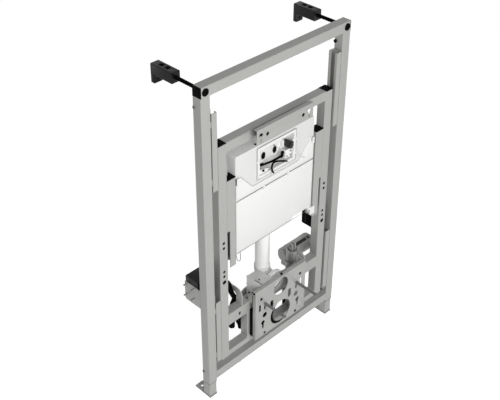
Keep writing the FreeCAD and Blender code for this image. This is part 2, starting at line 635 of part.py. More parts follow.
def cistern_collar():
    """White skin across the middle of the tank, swept up at both sides."""
    x = CIST_X
    z0 = SEAM_Z + SEAM
    low, high = z0 + COLLAR_UP - SEAM, z0 + COLLAR_SIDE
    foot_x, head_x = COLLAR_X
    outline = [(-x, z0), (x, z0), (x, high), (head_x, high), (foot_x, low), (-foot_x, low),
               (-head_x, high), (-x, high)]
    return prism_y(outline, CIST_Y0 - SKIN_T, CIST_Y0)


def service_box():
    """Open service box in the front of the cistern, with a rim round its mouth and a peg beside it."""
    half, y1, t = BOX_W / 2, CIST_Y0 + BOX_D, BOX_WALL
    shell = box(-half, half, CIST_Y0, y1, BOX_Z0, BOX_Z1)
    rim = box(-half - RIM, half + RIM, CIST_Y0 - RIM_T, CIST_Y0, BOX_Z0 - RIM, BOX_Z1 + RIM)
    peg = bar_y(PEG_R, half + RIM - PEG_R, CIST_Y0 - RIM_T - PEG_L, CIST_Y0 - RIM_T, BOX_Z0 + PEG_RISE)
    shell = shell.fuse(rim).fuse(peg)
    shell = shell.cut(box(-half + t, half - t, CIST_Y0 - RIM_T - 1, BOX_BACK, BOX_Z0 + t, BOX_Z1 - t))
    for x in BOX_HOLES_X:
        shell = shell.cut(bar_y(BOX_HOLE_R, x, BOX_BACK - 1, y1 + 1, BOX_Z0 + BOX_HOLE_RISE))
    return shell


def flush_barrel():
    """Dark barrel that works the flush, in its holder on the rear wall of the service box."""
    y0 = CIST_Y0 - RIM_T
    return bar_y(BARREL_R, BARREL_X, y0, y0 + BARREL_L, BOX_Z0 + BARREL_RISE)


def valve_block():
    """Filling valve, with a holder for the barrel above it."""
    x0, z0, z1 = BARREL_X - VALVE_W / 2, BOX_Z0 + VALVE_RISE, BOX_Z0 + BARREL_RISE
    y0 = CIST_Y0 - RIM_T + BARREL_L
    block = box(x0, x0 + VALVE_W, BOX_BACK - VALVE_D, BOX_BACK, z0, z0 + VALVE_H)
    block = block.fuse(box(BARREL_X - HOLDER_R, BARREL_X + HOLDER_R, y0, BOX_BACK, z0, z1))
    return block.fuse(bar_y(HOLDER_R, BARREL_X, y0, BOX_BACK, z1))


def flush_pipe():
    """Upright flush pipe from the tank to the socket of the elbow."""
    z0, z1 = ELBOW_Z + SOCKET_RISE - SOCKET_GRIP, CIST_Z0 + CIST_WALL
    return bar_z(PIPE_R, 0, PIPE_Y, z0, z1).cut(bar_z(PIPE_R - PIPE_WALL, 0, PIPE_Y, z0 - 1, z1 + 1))


def flush_elbow():
    """Flush elbow: socket for the pipe above, collar behind the flush hole in front."""
    top, neck = ELBOW_Z + SOCKET_RISE, NECK_Y[0]
    elbow = pipe([(0, PIPE_Y, top), (0, PIPE_Y, ELBOW_Z), (0, neck, ELBOW_Z)], [ELBOW_BEND], PIPE_R + SOCKET_WALL)
    elbow = elbow.fuse(bar_y(NECK_R, 0, neck, NECK_Y[1], ELBOW_Z))
    bore = PIPE_R - PIPE_WALL
    elbow = elbow.cut(bar_y(bore, 0, neck - 1, PIPE_Y, ELBOW_Z))
    elbow = elbow.cut(bar_z(bore, 0, PIPE_Y, ELBOW_Z, top + 1))
    return elbow.cut(bar_z(PIPE_R, 0, PIPE_Y, top - SOCKET_GRIP, top + 1))


def elbow_shelf():
    """Folded channel beside the flush elbow, on a leg that stands on the support crossbar."""
    tip, web, inner = SHELF_X
    (y0, y1), t = SHELF_Y, SHELF_T
    z0 = SUPPORT_Z1 + SHELF_RISE
    z1 = z0 + SHELF_H
    outline = [(y0, SUPPORT_Z1), (Y1, SUPPORT_Z1), (Y1, z0), (y1, z0), (y1, z1), (y0, z1)]
    shelf = prism_x(outline, web, web + t)
    for z in (z0, z1 - t):
        shelf = shelf.fuse(box(tip, web, y0, y1, z, z + t))
    shelf = shelf.fuse(box(web, inner, y0 + t, y1, z1 - 2 * t, z1 - t))
    return shelf.cut(bar_z(PIPE_R + SOCKET_WALL, 0, PIPE_Y, z0, z1))


def waste_bend():
    """Waste bend behind the waste hole, turning down, with two beads at its mouth."""
    corner = (0, BEND_Y1, WASTE_Z)
    end_z = WASTE_Z - BEND_DOWN
    bend = pipe([(0, BEND_Y0, WASTE_Z), corner, (0, BEND_Y1, end_z)], [BEND_SWING], BEND_R)
    for y in (BEND_Y0, BEND_Y0 + BEAD_IN):
        bend = bend.fuse(bar_y(BEAD_R, 0, y, y + BEAD_T, WASTE_Z))
    bore = pipe([(0, BEND_Y0 - 1, WASTE_Z), corner, (0, BEND_Y1, end_z - 1)], [BEND_SWING], BEND_R - BEND_WALL)
    return bend.cut(bore)


def waste_clamp():
    """Clamp ring between the beads of the waste bend, with two arms to the plate posts."""
    y0, y1 = BEND_Y0 + BEAD_T, BEND_Y0 + BEAD_IN
    z0, z1, reach = WASTE_Z - CLAMP_ARM / 2, WASTE_Z + CLAMP_ARM / 2, PLATE_POST_X0 + CLAMP_ARM
    body = bar_y(CLAMP_R, 0, y0, y1, WASTE_Z).fuse(box(-reach, reach, y0, y1, z0, z1))
    for x in (-reach, reach - CLAMP_ARM):
        body = body.fuse(box(x, x + CLAMP_ARM, Y1, y0, z0, z1))
    return body.cut(bar_y(BEND_R, 0, y0 - 1, y1 + 1, WASTE_Z))


def support_arm():
    """Left arm: an upright cheek on the support crossbar that turns back towards the wall."""
    (front, back), z0 = ARM_Y, SUPPORT_Z1
    outer, inner = ARM_R
    z1, zi = z0 + ARM_H, z0 + ARM_H - ARM_BAR
    blank = box(-ARM_X, -ARM_X + ARM_T, front, ARM_DEEP, z0, z1)
    corner = [e for e in blank.Edges if e.BoundBox.YMax < front + 0.1 and e.BoundBox.ZMin > z1 - 0.1]
    blank = blank.makeFillet(outer, corner)
    gap = box(-ARM_X - 1, -ARM_X + ARM_T + 1, back, ARM_DEEP + 1, z0 - 1, zi)
    root = [e for e in gap.Edges if e.BoundBox.YMax < back + 0.1 and e.BoundBox.ZMin > zi - 0.1]
    return blank.cut(gap.makeFillet(inner, root))


def support_tab():
    """Right tab: an upright cheek on the support crossbar with a rounded front."""
    (front, back), z0 = ARM_Y, SUPPORT_Z1
    blank = box(ARM_X - ARM_T, ARM_X, front, back, z0, z0 + TAB_H)
    corner = [e for e in blank.Edges if e.BoundBox.YMax < front + 0.1 and e.BoundBox.ZMin > z0 + 1]
    return blank.makeFillet((back - front) * 0.9, corner)


def actuator_column():
    """Column of the drive: ribbed collar below, lug on the crossbar, cup and fork on top, bored for the spindle."""
    x, y, z0, z1 = ACT_X, ACT_Y, COLUMN_Z0, COLUMN_Z1
    column = bar_z(COLUMN_R, x, y, z0, z1).fuse(bar_z(COLLAR_R, x, y, z0, z0 + COLLAR_H))
    for k in range(3):
        rib_z = z0 + RIB_T + k * RIB_STEP
        column = column.fuse(bar_z(RIB_R, x, y, rib_z, rib_z + RIB_T))
    column = column.fuse(box(x - LUG_W / 2, x + LUG_W / 2, Y1, y, LUG_Z0, LUG_Z0 + LUG_H))
    half, floor = FORK_W / 2, z1 - CUP_DEEP
    column = column.fuse(bar_z(CUP_R, x, y, z1 - CUP_H, z1)).cut(bar_z(CUP_BORE, x, y, floor, z1 + 1))
    for x0 in (x - half, x + half - FORK_T):
        cheek = box(x0, x0 + FORK_T, y - half, y + half, floor, floor + FORK_H)
        hole = bar_x(FORK_HOLE, x0 - 1, x0 + FORK_T + 1, y, floor + FORK_H - half)
        column = column.fuse(cheek.cut(hole))
    return column.cut(bar_z(SPINDLE_R + SPINDLE_FIT, x, y, z0 - 1, floor - WALL))


def actuator_motor():
    """Motor of the drive: a lying cylinder behind the column, with an end cap and a gear case."""
    (x0, x1), (cap_r, cap_t) = MOTOR_X, MOTOR_CAP
    motor = bar_x(MOTOR_R, x0, x1, MOTOR_Y, MOTOR_Z).fuse(bar_x(cap_r, x0 - cap_t, x0, MOTOR_Y, MOTOR_Z))
    z0, z1 = MOTOR_Z - MOTOR_R, MOTOR_Z - MOTOR_R + CASE_H
    case = bar_z(CASE_R, ACT_X, ACT_Y, z0, z1).fuse(
        box(ACT_X - COLUMN_R, ACT_X + CASE_R, ACT_Y, MOTOR_Y, z0, MOTOR_Z + COLUMN_R))
    half = LUG_W / 2
    lug = box(ACT_X - half, ACT_X + half, Y1, ACT_Y, LUG_Z0, LUG_Z0 + LUG_H)
    motor = motor.fuse(case).cut(bar_z(COLUMN_R, ACT_X, ACT_Y, z0 - 1, MOTOR_Z + MOTOR_R))
    return motor.cut(bar_z(CUP_R, ACT_X, ACT_Y, COLUMN_Z1 - CUP_H, COLUMN_Z1)).cut(lug)


def actuator_spindle():
    """Spindle on its foot bracket behind the bottom rail."""
    x, half = ACT_X, SEAT_W / 2
    spindle = bar_z(SPINDLE_R, x, ACT_Y, SEAT_Z1, COLUMN_Z1 - CUP_DEEP - WALL - SPINDLE_END)
    seat = box(x - half, x + half, TUBE, ACT_Y + SEAT_BACK, BOTTOM_RAIL_Z, SEAT_Z1)
    back = box(x - half, x + half, TUBE, TUBE + SEAT_T, BOTTOM_RAIL_Z, BOTTOM_TOP)
    return spindle.fuse(seat).fuse(back)


def spindle_boot():
    """Ribbed boot round the foot of the spindle, on its seat."""
    x, y, z1 = ACT_X, ACT_Y, COLUMN_Z0 - BOOT_GAP
    boot = bar_z(BOOT_R, x, y, SEAT_Z1, z1)
    for k in range(3):
        rib_z = SEAT_Z1 + RIB_T + k * RIB_STEP
        boot = boot.fuse(bar_z(BOOT_RIB_R, x, y, rib_z, rib_z + RIB_T))
    return boot.cut(bar_z(SPINDLE_R + SPINDLE_FIT, x, y, SEAT_Z1 - 1, z1 + 1))


def drive_conduit():
    """Conduit of the drive behind the carriage, with a clip at both ends."""
    points = [(x - POST_X1, HOSE_Y, z) for x, z in HOSE_TOP]
    points += [(-x - PLATE_POST_XC, HOSE_Y, z) for x, z in HOSE_FOOT]
    hose = pipe(points, HOSE_BENDS, HOSE_R)
    half = HOSE_CLIP / 2
    for (x0, y, z0), (x1, y, z1) in ((points[0], points[1]), (points[-1], points[-2])):
        x, z = x0 + (x1 - x0) * 0.1, z0 + (z1 - z0) * 0.1
        hose = hose.fuse(box(x - half, x + half, Y1, HOSE_Y, z - half, z + half))
    return hose


# Fixed frame
pair("upright", tube(XS, FRAME_W / 2, 0, TUBE, UPRIGHT_Z0, UPRIGHT_Z1, "z"))
save("top_rail", top_rail())
save("bottom_rail", tube(-XS, XS, 0, TUBE, BOTTOM_RAIL_Z, BOTTOM_TOP, "x"))
save("end_plugs", *both(end_plug()))
pair("foot", foot())
RAILS = [guide_rail(UPPER_Z0, RAIL_UPPER_H), guide_rail(LOWER_Z0, RAIL_LOWER_H)]
save("right_guide_rails", *RAILS)
save("left_guide_rails", *[mirror(rail) for rail in RAILS])
save("wall_rods", *both(wall_rod()))
save("wall_brackets", *both(wall_bracket()))
save("control_bracket", control_bracket())
save("control_box", control_box())
save("actuator_spindle", actuator_spindle())
save("spindle_boot", spindle_boot())

# Carriage
pair("carriage_post", carriage_post())
pair("inner_post", inner_post())
INNER_TOP = CIST_Z1 - INNER_UP
save("post_caps", *both(tube_cap(POST_X0, POST_X1, POST_Z1)), *both(tube_cap(INNER_X0, POST_X0, INNER_TOP)))
save("guide_blocks", *both(guide_block(UPPER_Z0)), *both(guide_block(LOWER_Z0)))
save("top_crossbar", crossbar(POST_Z1 - CAR, POST_Z1))
save("support_crossbar", support_crossbar())
save("base_crossbar", crossbar(POST_Z0, BASE_Z1))
save("plate_posts", *both(plate_post()))
save("fixing_plate", fixing_plate())
save("plate_pad", plate_pad())
save("bowl_studs", *both(stud()))
save("hanger_bracket", hanger_bracket())
save("cistern_tank", cistern_tank())
save("cistern_cover", cistern_cover())
save("cistern_collar", cistern_collar())
save("service_box", service_box())
save("flush_barrel", flush_barrel())
save("valve_block", valve_block())
save("flush_pipe", flush_pipe())
save("flush_elbow", flush_elbow())
save("elbow_shelf", elbow_shelf())
save("waste_bend", waste_bend())
save("waste_clamp", waste_clamp())
save("support_arm", support_arm())
save("support_tab", support_tab())
save("actuator_column", actuator_column())
save("actuator_motor", actuator_motor())
save("drive_conduit", drive_conduit())
save("supply_box", supply_box())
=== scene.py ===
# %% [markdown]
# A height adjustable frame for a wall hung toilet. Square steel tubes stand on two feet and reach
# the wall with two black brackets. Inside them a carriage slides up and down in four guide rails.
# It carries the cistern, the flush and waste bends and the plate that the bowl hangs on.
# The engineering model gives every tube and plate its true size. This lesson adds the finishes and
# the small things that make it look real: threads, screws, clips, hoses, welds and ribs.

# %% Load the engineering model
import json
import math

import bmesh
import bpy
import numpy as np
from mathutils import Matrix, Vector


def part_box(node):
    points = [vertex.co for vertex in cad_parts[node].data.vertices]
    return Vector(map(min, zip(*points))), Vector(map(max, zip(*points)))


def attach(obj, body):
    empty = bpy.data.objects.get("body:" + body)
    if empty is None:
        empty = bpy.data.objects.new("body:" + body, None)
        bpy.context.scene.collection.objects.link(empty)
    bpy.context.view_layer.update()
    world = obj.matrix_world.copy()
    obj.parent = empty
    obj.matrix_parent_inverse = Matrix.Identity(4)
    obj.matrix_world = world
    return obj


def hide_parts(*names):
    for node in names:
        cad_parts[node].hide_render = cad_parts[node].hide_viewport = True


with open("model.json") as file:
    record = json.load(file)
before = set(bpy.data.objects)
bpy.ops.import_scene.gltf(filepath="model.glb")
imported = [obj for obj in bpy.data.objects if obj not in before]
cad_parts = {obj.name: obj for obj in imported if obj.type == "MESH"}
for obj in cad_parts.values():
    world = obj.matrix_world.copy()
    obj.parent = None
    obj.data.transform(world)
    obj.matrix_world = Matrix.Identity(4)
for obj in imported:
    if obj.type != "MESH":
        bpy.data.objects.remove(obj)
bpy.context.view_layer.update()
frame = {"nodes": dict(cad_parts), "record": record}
scene = bpy.context.scene
scene.view_settings.view_transform = "Standard"
print("engineering model:", len(frame["nodes"]), "nodes")

# %% [markdown]
# The camera stands in front of the frame, to the left and above, as a visitor would look down at it.
# Its place was worked out from the edges of the tubes. The picture is framed by a small lens shift,
# because turning the camera instead would make the uprights lean.

# %% Camera
CAMERA_PLACE = (-1.967, -1.8815, 2.730)
CAMERA_TURN = 44.52          # degrees to the right of straight ahead
CAMERA_TILT = 33.94          # degrees down
SENSOR_MM, LENS_MM = 36.0, 63.854
SHIFT_RIGHT, SHIFT_UP = 0.00928, -0.06006
lens = bpy.data.cameras.new("camera")
lens.sensor_width = SENSOR_MM
lens.lens = LENS_MM
lens.shift_x = SHIFT_RIGHT
lens.shift_y = SHIFT_UP
camera = bpy.data.objects.new("camera", lens)
camera.location = CAMERA_PLACE
camera.rotation_euler = (math.radians(90 - CAMERA_TILT), 0, math.radians(-CAMERA_TURN))
scene.collection.objects.link(camera)
scene.camera = camera
print("camera at", CAMERA_PLACE)

# %% [markdown]
# A catalogue picture has a white ground and no hard shadow. A white world would light the frame so
# evenly that its tubes look flat. So the world is white where the camera, or a reflection, sees it,
# and only gives the light of a dim grey one. The kind of the ray decides between the two.

# %% World
FILL_LIGHT = 0.20


def seen_directly(tree):
    """A socket: 1 for camera, glossy and transmission rays, 0 for light, as the largest of the three."""
    path = tree.nodes.new("ShaderNodeLightPath")
    first = tree.nodes.new("ShaderNodeMath")
    first.operation = "MAXIMUM"
    tree.links.new(path.outputs["Is Camera Ray"], first.inputs[0])
    tree.links.new(path.outputs["Is Glossy Ray"], first.inputs[1])
    second = tree.nodes.new("ShaderNodeMath")
    second.operation = "MAXIMUM"
    tree.links.new(first.outputs[0], second.inputs[0])
    tree.links.new(path.outputs["Is Transmission Ray"], second.inputs[1])
    return second.outputs[0]


world = bpy.data.worlds.new("studio")
world.use_nodes = True
scene.world = world
tree = world.node_tree
tree.nodes.clear()
light_side = tree.nodes.new("ShaderNodeBackground")
light_side.inputs["Color"].default_value = (1, 1, 1, 1)
light_side.inputs["Strength"].default_value = FILL_LIGHT
seen_side = tree.nodes.new("ShaderNodeBackground")
seen_side.inputs["Color"].default_value = (1, 1, 1, 1)
mix = tree.nodes.new("ShaderNodeMixShader")
tree.links.new(seen_directly(tree), mix.inputs["Fac"])
tree.links.new(light_side.outputs[0], mix.inputs[1])
tree.links.new(seen_side.outputs[0], mix.inputs[2])
tree.links.new(mix.outputs[0], tree.nodes.new("ShaderNodeOutputWorld").inputs["Surface"])
print("world gives", FILL_LIGHT, "of the light it shows")

# %% [markdown]
# The main lamp is wide and stands in front, a little above the frame, so the faces towards the room
# are the brightest, the lower ones get a little less, and the tops stay dark. A weaker lamp on the
# left fills the sides. Wide lamps give the soft edges that a studio's own lamps give.

# %% Lamps


def lamp(name, place, target, size, power):
    """A square area lamp, in metres and watts: its turn is the angle of the line from target to lamp."""
    data = bpy.data.lights.new(name, "AREA")
    data.size = size
    data.energy = power
    shown = bpy.data.objects.new(name, data)
    shown.location = place
    away = np.array(place) - np.array(target)
    shown.rotation_euler = (math.acos(away[2] / np.linalg.norm(away)), 0,
                            math.atan2(away[1], away[0]) + math.pi / 2)
    scene.collection.objects.link(shown)


lamp("front_lamp", (-0.8, -3.1, 2.0), (0, 0, 0.9), 2.2, 86)
lamp("left_lamp", (-4.4, -1.5, 1.6), (0, 0, 0.75), 2.4, 31)
print("two lamps")

# %% [markdown]
# The frame stands on a floor as white as the world, or a line would show where the two meet. A matt
# floor alone would be grey, so some of its white is a glow that only the camera and reflections see.

# %% Floor
FLOOR_GLOW = 0.83      # how white it is where it is seen
FLOOR_TINT = 0.72      # how much of the lamps' light it sends back
FLOOR_HALF = 14.0
floor_mesh = bpy.data.meshes.new("floor")
corners = [(x * FLOOR_HALF, y * FLOOR_HALF, 0) for x, y in ((-1, -1), (1, -1), (1, 1), (-1, 1))]
floor_mesh.from_pydata(corners, [], [(0, 1, 2, 3)])
floor = bpy.data.objects.new("floor", floor_mesh)
scene.collection.objects.link(floor)
paint = bpy.data.materials.new("pale_floor")
paint.use_nodes = True
tree = paint.node_tree
tree.nodes.clear()
matt = tree.nodes.new("ShaderNodeBsdfDiffuse")
matt.inputs["Color"].default_value = (FLOOR_TINT, FLOOR_TINT, FLOOR_TINT, 1)
glow = tree.nodes.new("ShaderNodeEmission")
lift = tree.nodes.new("ShaderNodeMath")
lift.operation = "MULTIPLY"
lift.inputs[1].default_value = FLOOR_GLOW
tree.links.new(seen_directly(tree), lift.inputs[0])
tree.links.new(lift.outputs[0], glow.inputs["Strength"])
both = tree.nodes.new("ShaderNodeAddShader")
tree.links.new(matt.outputs[0], both.inputs[0])
tree.links.new(glow.outputs[0], both.inputs[1])
tree.links.new(both.outputs[0], tree.nodes.new("ShaderNodeOutputMaterial").inputs["Surface"])
floor_mesh.materials.append(paint)
print("floor of", 2 * FLOOR_HALF, "m")

# %% [markdown]
# Each finish on the real frame is a paint, a plating or a moulded plastic. All of them are built by
# one function: a coarse noise varies the colour and the gloss a little, and a fine noise raises the
# surface. The sizes of the noises tell one finish from another. A noise needs no picture and shows no
# seam, and its grain stays the same on large and small pieces. Shine is how much a plastic or paint
# mirrors: the black ones get little, or the white studio turns them grey.

# %% A function for finishes
MATERIALS = {}
GLOSS_DRIFT, COAT_ROUGH, RELIEF = 0.08, 0.12, 0.001      # the last one in metres


def finish(name, colour, rough, metal=0.0, drift=0.06, drift_size=0.08, grain=0.02, grain_size=0.0015,
           shine=0.5, coat=0.0):
    """A procedural finish: base colour times (1 plus or minus drift), gloss and relief from noise."""
    made = bpy.data.materials.new(name)
    made.use_nodes = True
    tree = made.node_tree
    new, link = tree.nodes.new, tree.links.new
    shader = tree.nodes["Principled BSDF"]
    shader.inputs["Metallic"].default_value = metal
    shader.inputs["Specular IOR Level"].default_value = shine
    if coat:
        shader.inputs["Coat Weight"].default_value = coat
        shader.inputs["Coat Roughness"].default_value = COAT_ROUGH
    place = new("ShaderNodeTexCoord").outputs["Object"]
    clouds = new("ShaderNodeTexNoise")
    clouds.inputs["Scale"].default_value = 1.0 / drift_size
    clouds.inputs["Detail"].default_value = 4.0
    link(place, clouds.inputs["Vector"])
    tint = new("ShaderNodeMapRange")
    tint.inputs["To Min"].default_value = 1.0 - drift
    tint.inputs["To Max"].default_value = 1.0 + drift
    link(clouds.outputs["Fac"], tint.inputs["Value"])
    scaled = new("ShaderNodeVectorMath")
    scaled.operation = "SCALE"
    scaled.inputs[0].default_value = colour
    link(tint.outputs["Result"], scaled.inputs["Scale"])
    link(scaled.outputs["Vector"], shader.inputs["Base Color"])
    gloss = new("ShaderNodeMapRange")
    gloss.inputs["To Min"].default_value = rough - GLOSS_DRIFT
    gloss.inputs["To Max"].default_value = rough + GLOSS_DRIFT
    link(clouds.outputs["Fac"], gloss.inputs["Value"])
    link(gloss.outputs["Result"], shader.inputs["Roughness"])
    speck = new("ShaderNodeTexNoise")
    speck.inputs["Scale"].default_value = 1.0 / grain_size
    speck.inputs["Detail"].default_value = 2.0
    link(place, speck.inputs["Vector"])
    bump = new("ShaderNodeBump")
    bump.inputs["Strength"].default_value = grain
    bump.inputs["Distance"].default_value = RELIEF
    link(speck.outputs["Fac"], bump.inputs["Height"])
    link(bump.outputs["Normal"], shader.inputs["Normal"])
    MATERIALS[name] = made
    return made


print("gloss drifts by", GLOSS_DRIFT)

# %% [markdown]
# The frame is painted grey steel, the studs and screws are zinc plated, and the rest is plastic in
# white, grey and black. Deep black has nearly no shine and stands for rubber, and for painted shade
# in gaps and holes. The paler coat is painted light on the elbow's shelf, and seam grey also paints
# the shade in the cistern's seams.

# %% Finishes of this frame
# Each line gives colour, roughness and metal, then drift and its size, and grain and its size in metres.
finish("frame_metal", (0.42, 0.42, 0.405), 0.42, 0.10, 0.05, 0.11, 0.10, 0.0011)
finish("galvanised", (0.19, 0.19, 0.195), 0.50, 0.0, 0.14, 0.012, 0.10, 0.002, shine=0.15)
finish("black_plastic", (0.008, 0.008, 0.009), 0.42, 0.0, 0.15, 0.03, 0.12, 0.0009, shine=0.2)
finish("white_plastic", (0.89, 0.89, 0.88), 0.38, 0.0, 0.012, 0.09, 0.05, 0.0012, shine=0.35)
finish("grey_plastic", (0.80, 0.80, 0.79), 0.45, 0.0, 0.015, 0.10, 0.06, 0.0014, shine=0.35)
finish("pipe_white", (0.96, 0.96, 0.95), 0.22, 0.0, 0.012, 0.08, 0.03, 0.002, coat=0.3)
finish("drain_black", (0.009, 0.009, 0.010), 0.30, 0.0, 0.12, 0.04, 0.05, 0.002, shine=0.3)
finish("valve_grey", (0.022, 0.022, 0.024), 0.40, 0.0, 0.10, 0.02, 0.08, 0.0008, shine=0.3)
finish("cast_grey", (0.38, 0.38, 0.37), 0.36, 0.30, 0.08, 0.02, 0.25, 0.0014)
finish("guide_plastic", (0.025, 0.025, 0.026), 0.50, 0.0, 0.10, 0.02, 0.10, 0.0010, shine=0.2)
# deep black: rubber, and painted shade in gaps and holes
finish("deep_black", (0.003, 0.003, 0.003), 0.85, 0.0, 0.2, 0.02, 0.10, 0.0010, shine=0.05)
# a paler copy of the frame's paint: painted light on the elbow's shelf
finish("painted_light_coat", (0.74, 0.74, 0.72), 0.42, 0.05, 0.05, 0.05, 0.10, 0.0011)
# seam grey: dark screws and ribs, and painted shade in the cistern's seams
finish("seam_grey", (0.16, 0.16, 0.155), 0.6, 0.0, 0.05, 0.05, 0.05, 0.0010, shine=0.2)
print("finishes:", ", ".join(sorted(MATERIALS)))

# %% [markdown]
# The record names the finish of each node. Seen in this light, a few nodes need a darker or a paler
# look than their finish has elsewhere, so they keep the finish's name and get another look. The
# paler look of the elbow's shelf is painted light, and the deep black of the plate's pad is painted
# shade behind the plate's holes.

# %% Paint the engineering model
SLOTS = {row["node"]: row["material_slot"] for row in frame["record"]["subparts"]}
OTHER = {"plate_pad": "deep_black", "elbow_shelf": "painted_light_coat", "end_plugs": "deep_black",
         "post_caps": "deep_black", "supply_box": "deep_black", "spindle_boot": "deep_black"}
BODIES = {node: body for body, nodes in frame["record"]["behaviour"]["bodies"].items() for node in nodes}
for node, shown in frame["nodes"].items():
    shown.data.materials.clear()
    shown.data.materials.append(MATERIALS[OTHER.get(node, SLOTS[node])])
print("painted", len(SLOTS), "nodes")

# %% [markdown]
# Every new piece is a skin over a grid of points: rows of rings, each ring a closed line. A lathe
# piece has round rings, a cut plate has two rings with the same outline, and a hose has rings that
# follow a path. Blender's own cylinders and boxes would each need their own edits, while a grid takes
# any profile and is worked out in one go. Places are in millimetres as on the drawing, with Y counted
# from the front of the outer frame, and are turned to metres only when the mesh is made.

# %% Places, skins and rings
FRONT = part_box("left_upright")[0][1]


def spot(points):
    """Drawing millimetres to metres: divide by a thousand, then move Y back to the frame's origin."""
    return np.asarray(points, float) / 1000.0 + (0.0, FRONT, 0.0)


def limits(node):
    """Lowest and highest corner of a node in drawing millimetres: the inverse of spot."""
    return (np.array(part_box(node)) - (0.0, FRONT, 0.0)) * 1000.0


def skin(grid, loop=False):
    """Faces between neighbouring rings; the end rings are closed, or joined to each other in a loop."""
    rows, sides = grid.shape[:2]
    index = np.arange(rows * sides).reshape(rows, sides)
    ahead = np.roll(index, -1, axis=1)
    last = rows if loop else rows - 1
    upper, upper_ahead = np.roll(index, -1, axis=0)[:last], np.roll(ahead, -1, axis=0)[:last]
    faces = [np.stack([index[:last], ahead[:last], upper_ahead, upper], axis=-1).reshape(-1, 4)]
    if not loop:
        faces += [index[:1, ::-1], index[-1:]]
    return grid.reshape(-1, 3), faces


def rings(along, reach, place, axis):
    """Points at distance reach round an axis: a row for each place along it, a column for each turn."""
    turn = np.linspace(0, 2 * np.pi, reach.shape[1], endpoint=False)
    grid = np.zeros(reach.shape + (3,))
    grid[..., axis] = np.asarray(along, float)[:, None]
    grid[..., (axis + 1) % 3] = reach * np.cos(turn)
    grid[..., (axis + 2) % 3] = reach * np.sin(turn)
    return grid + np.asarray(place, float)


def turned(profile, place, axis, sides=32, loop=False):
    """A lathe piece: each pair (place along the axis, radius) of the profile is one ring."""
    along, radius = np.transpose(profile)
    return skin(rings(along, np.repeat(radius[:, None], sides, axis=1), place, axis), loop)


print("front of the frame at", FRONT)

# %% [markdown]
# Cut plates, rims and boxes come from outlines. An outline is a closed line in a plane, given along
# the two axes that are left when the plate's own axis is taken away. A rim could be cut out of a plate
# with a boolean, but four rings joined in a loop give the same shape with clean faces.

# %% Plates and rims


def slab(outline, near, far, axis):
    """A plate: the same outline at two places along an axis, closed at both."""
    grid = np.zeros((2, len(outline), 3))
    grid[..., [i for i in range(3) if i != axis]] = outline
    grid[0, :, axis], grid[1, :, axis] = near, far
    return skin(grid)


def border(outer, inner, near, far, axis):
    """A flat rim: outer and inner outline with as many points, at two places along an axis."""
    grid = np.zeros((4, len(outer), 3))
    others = [i for i in range(3) if i != axis]
    grid[:2, :, others] = outer
    grid[2:, :, others] = inner
    grid[:, :, axis] = np.array([near, far, far, near])[:, None]
    return skin(grid, loop=True)


def oblong(x0, x1, z0, z1, r, steps=4):
    """A rectangle with round corners: a quarter circle of steps + 1 points about each inner corner."""
    turn = np.linspace(0, np.pi / 2, steps + 1)
    centres = ((x1 - r, z1 - r), (x0 + r, z1 - r), (x0 + r, z0 + r), (x1 - r, z0 + r))
    return np.concatenate([np.stack([x + r * np.cos(turn + k * np.pi / 2),
                                     z + r * np.sin(turn + k * np.pi / 2)], axis=1)
                           for k, (x, z) in enumerate(centres)])


print("a round corner has", len(oblong(0, 2, 0, 2, 1)) // 4, "points")

# %% [markdown]
# A hose follows a soft line through a few points. Cutting the corners of a line again and again
# makes it round. Its points are then spread at equal steps, so that ribs along it come out even. A
# curve with a round bevel would do for a plain hose. Here an array of radii, one for each step, gives
# the ribs of a conduit and the ripples of a weld as well.

# %% Paths and hoses


def eased(points, rounds=3):
    """A soft line through a few points: each round cuts every corner at a quarter of its two sides."""
    points = np.asarray(points, float)
    for _ in range(rounds):
        ends = points[:-1], points[1:]
        cut = np.stack([0.75 * ends[0] + 0.25 * ends[1], 0.25 * ends[0] + 0.75 * ends[1]], axis=1)
        points = np.concatenate([points[:1], cut.reshape(-1, 3), points[-1:]])
    return points


def spaced(points, step):
    """Points at equal steps along a line: its length is summed up and each coordinate read off it."""
    points = np.asarray(points, float)
    run = np.concatenate([[0], np.cumsum(np.linalg.norm(np.diff(points, axis=0), axis=1))])
    marks = np.linspace(0, run[-1], max(int(run[-1] / step), 2) + 1)
    return np.stack([np.interp(marks, run, points[:, k]) for k in range(3)], axis=1)


def hose(path, radius, sides=12, loop=False):
    """A tube round a path: its rings lie across the path's direction, from two cross products."""
    along = np.gradient(path, axis=0)
    along /= np.linalg.norm(along, axis=1, keepdims=True)
    up = np.eye(3)[np.argmin(np.abs(along).max(axis=0))]
    first = np.cross(along, up)
    first /= np.linalg.norm(first, axis=1, keepdims=True)
    second = np.cross(first, along)
    turn = np.linspace(0, 2 * np.pi, sides, endpoint=False)
    across = first[:, None] * np.cos(turn)[:, None] + second[:, None] * np.sin(turn)[:, None]
    reach = np.broadcast_to(np.asarray(radius, float), len(path))
    return skin(path[:, None] + reach[:, None, None] * across, loop)


print("three rounds turn 5 points into", len(eased(np.zeros((5, 3)))))

# %% [markdown]
# Studs and nuts are lathe pieces whose radius also changes round the axis: with the turn and the
# place for a thread, and with the turn alone for a hexagon. A thread could be swept along a helix,
# but then its ends are hard to close. A radius that changes closes like any other lathe piece.

# %% Threads and nuts
THREAD_DEPTH = 0.61      # of the pitch
NUT_SLOPE = 0.12         # of the radius, off the corners of both faces


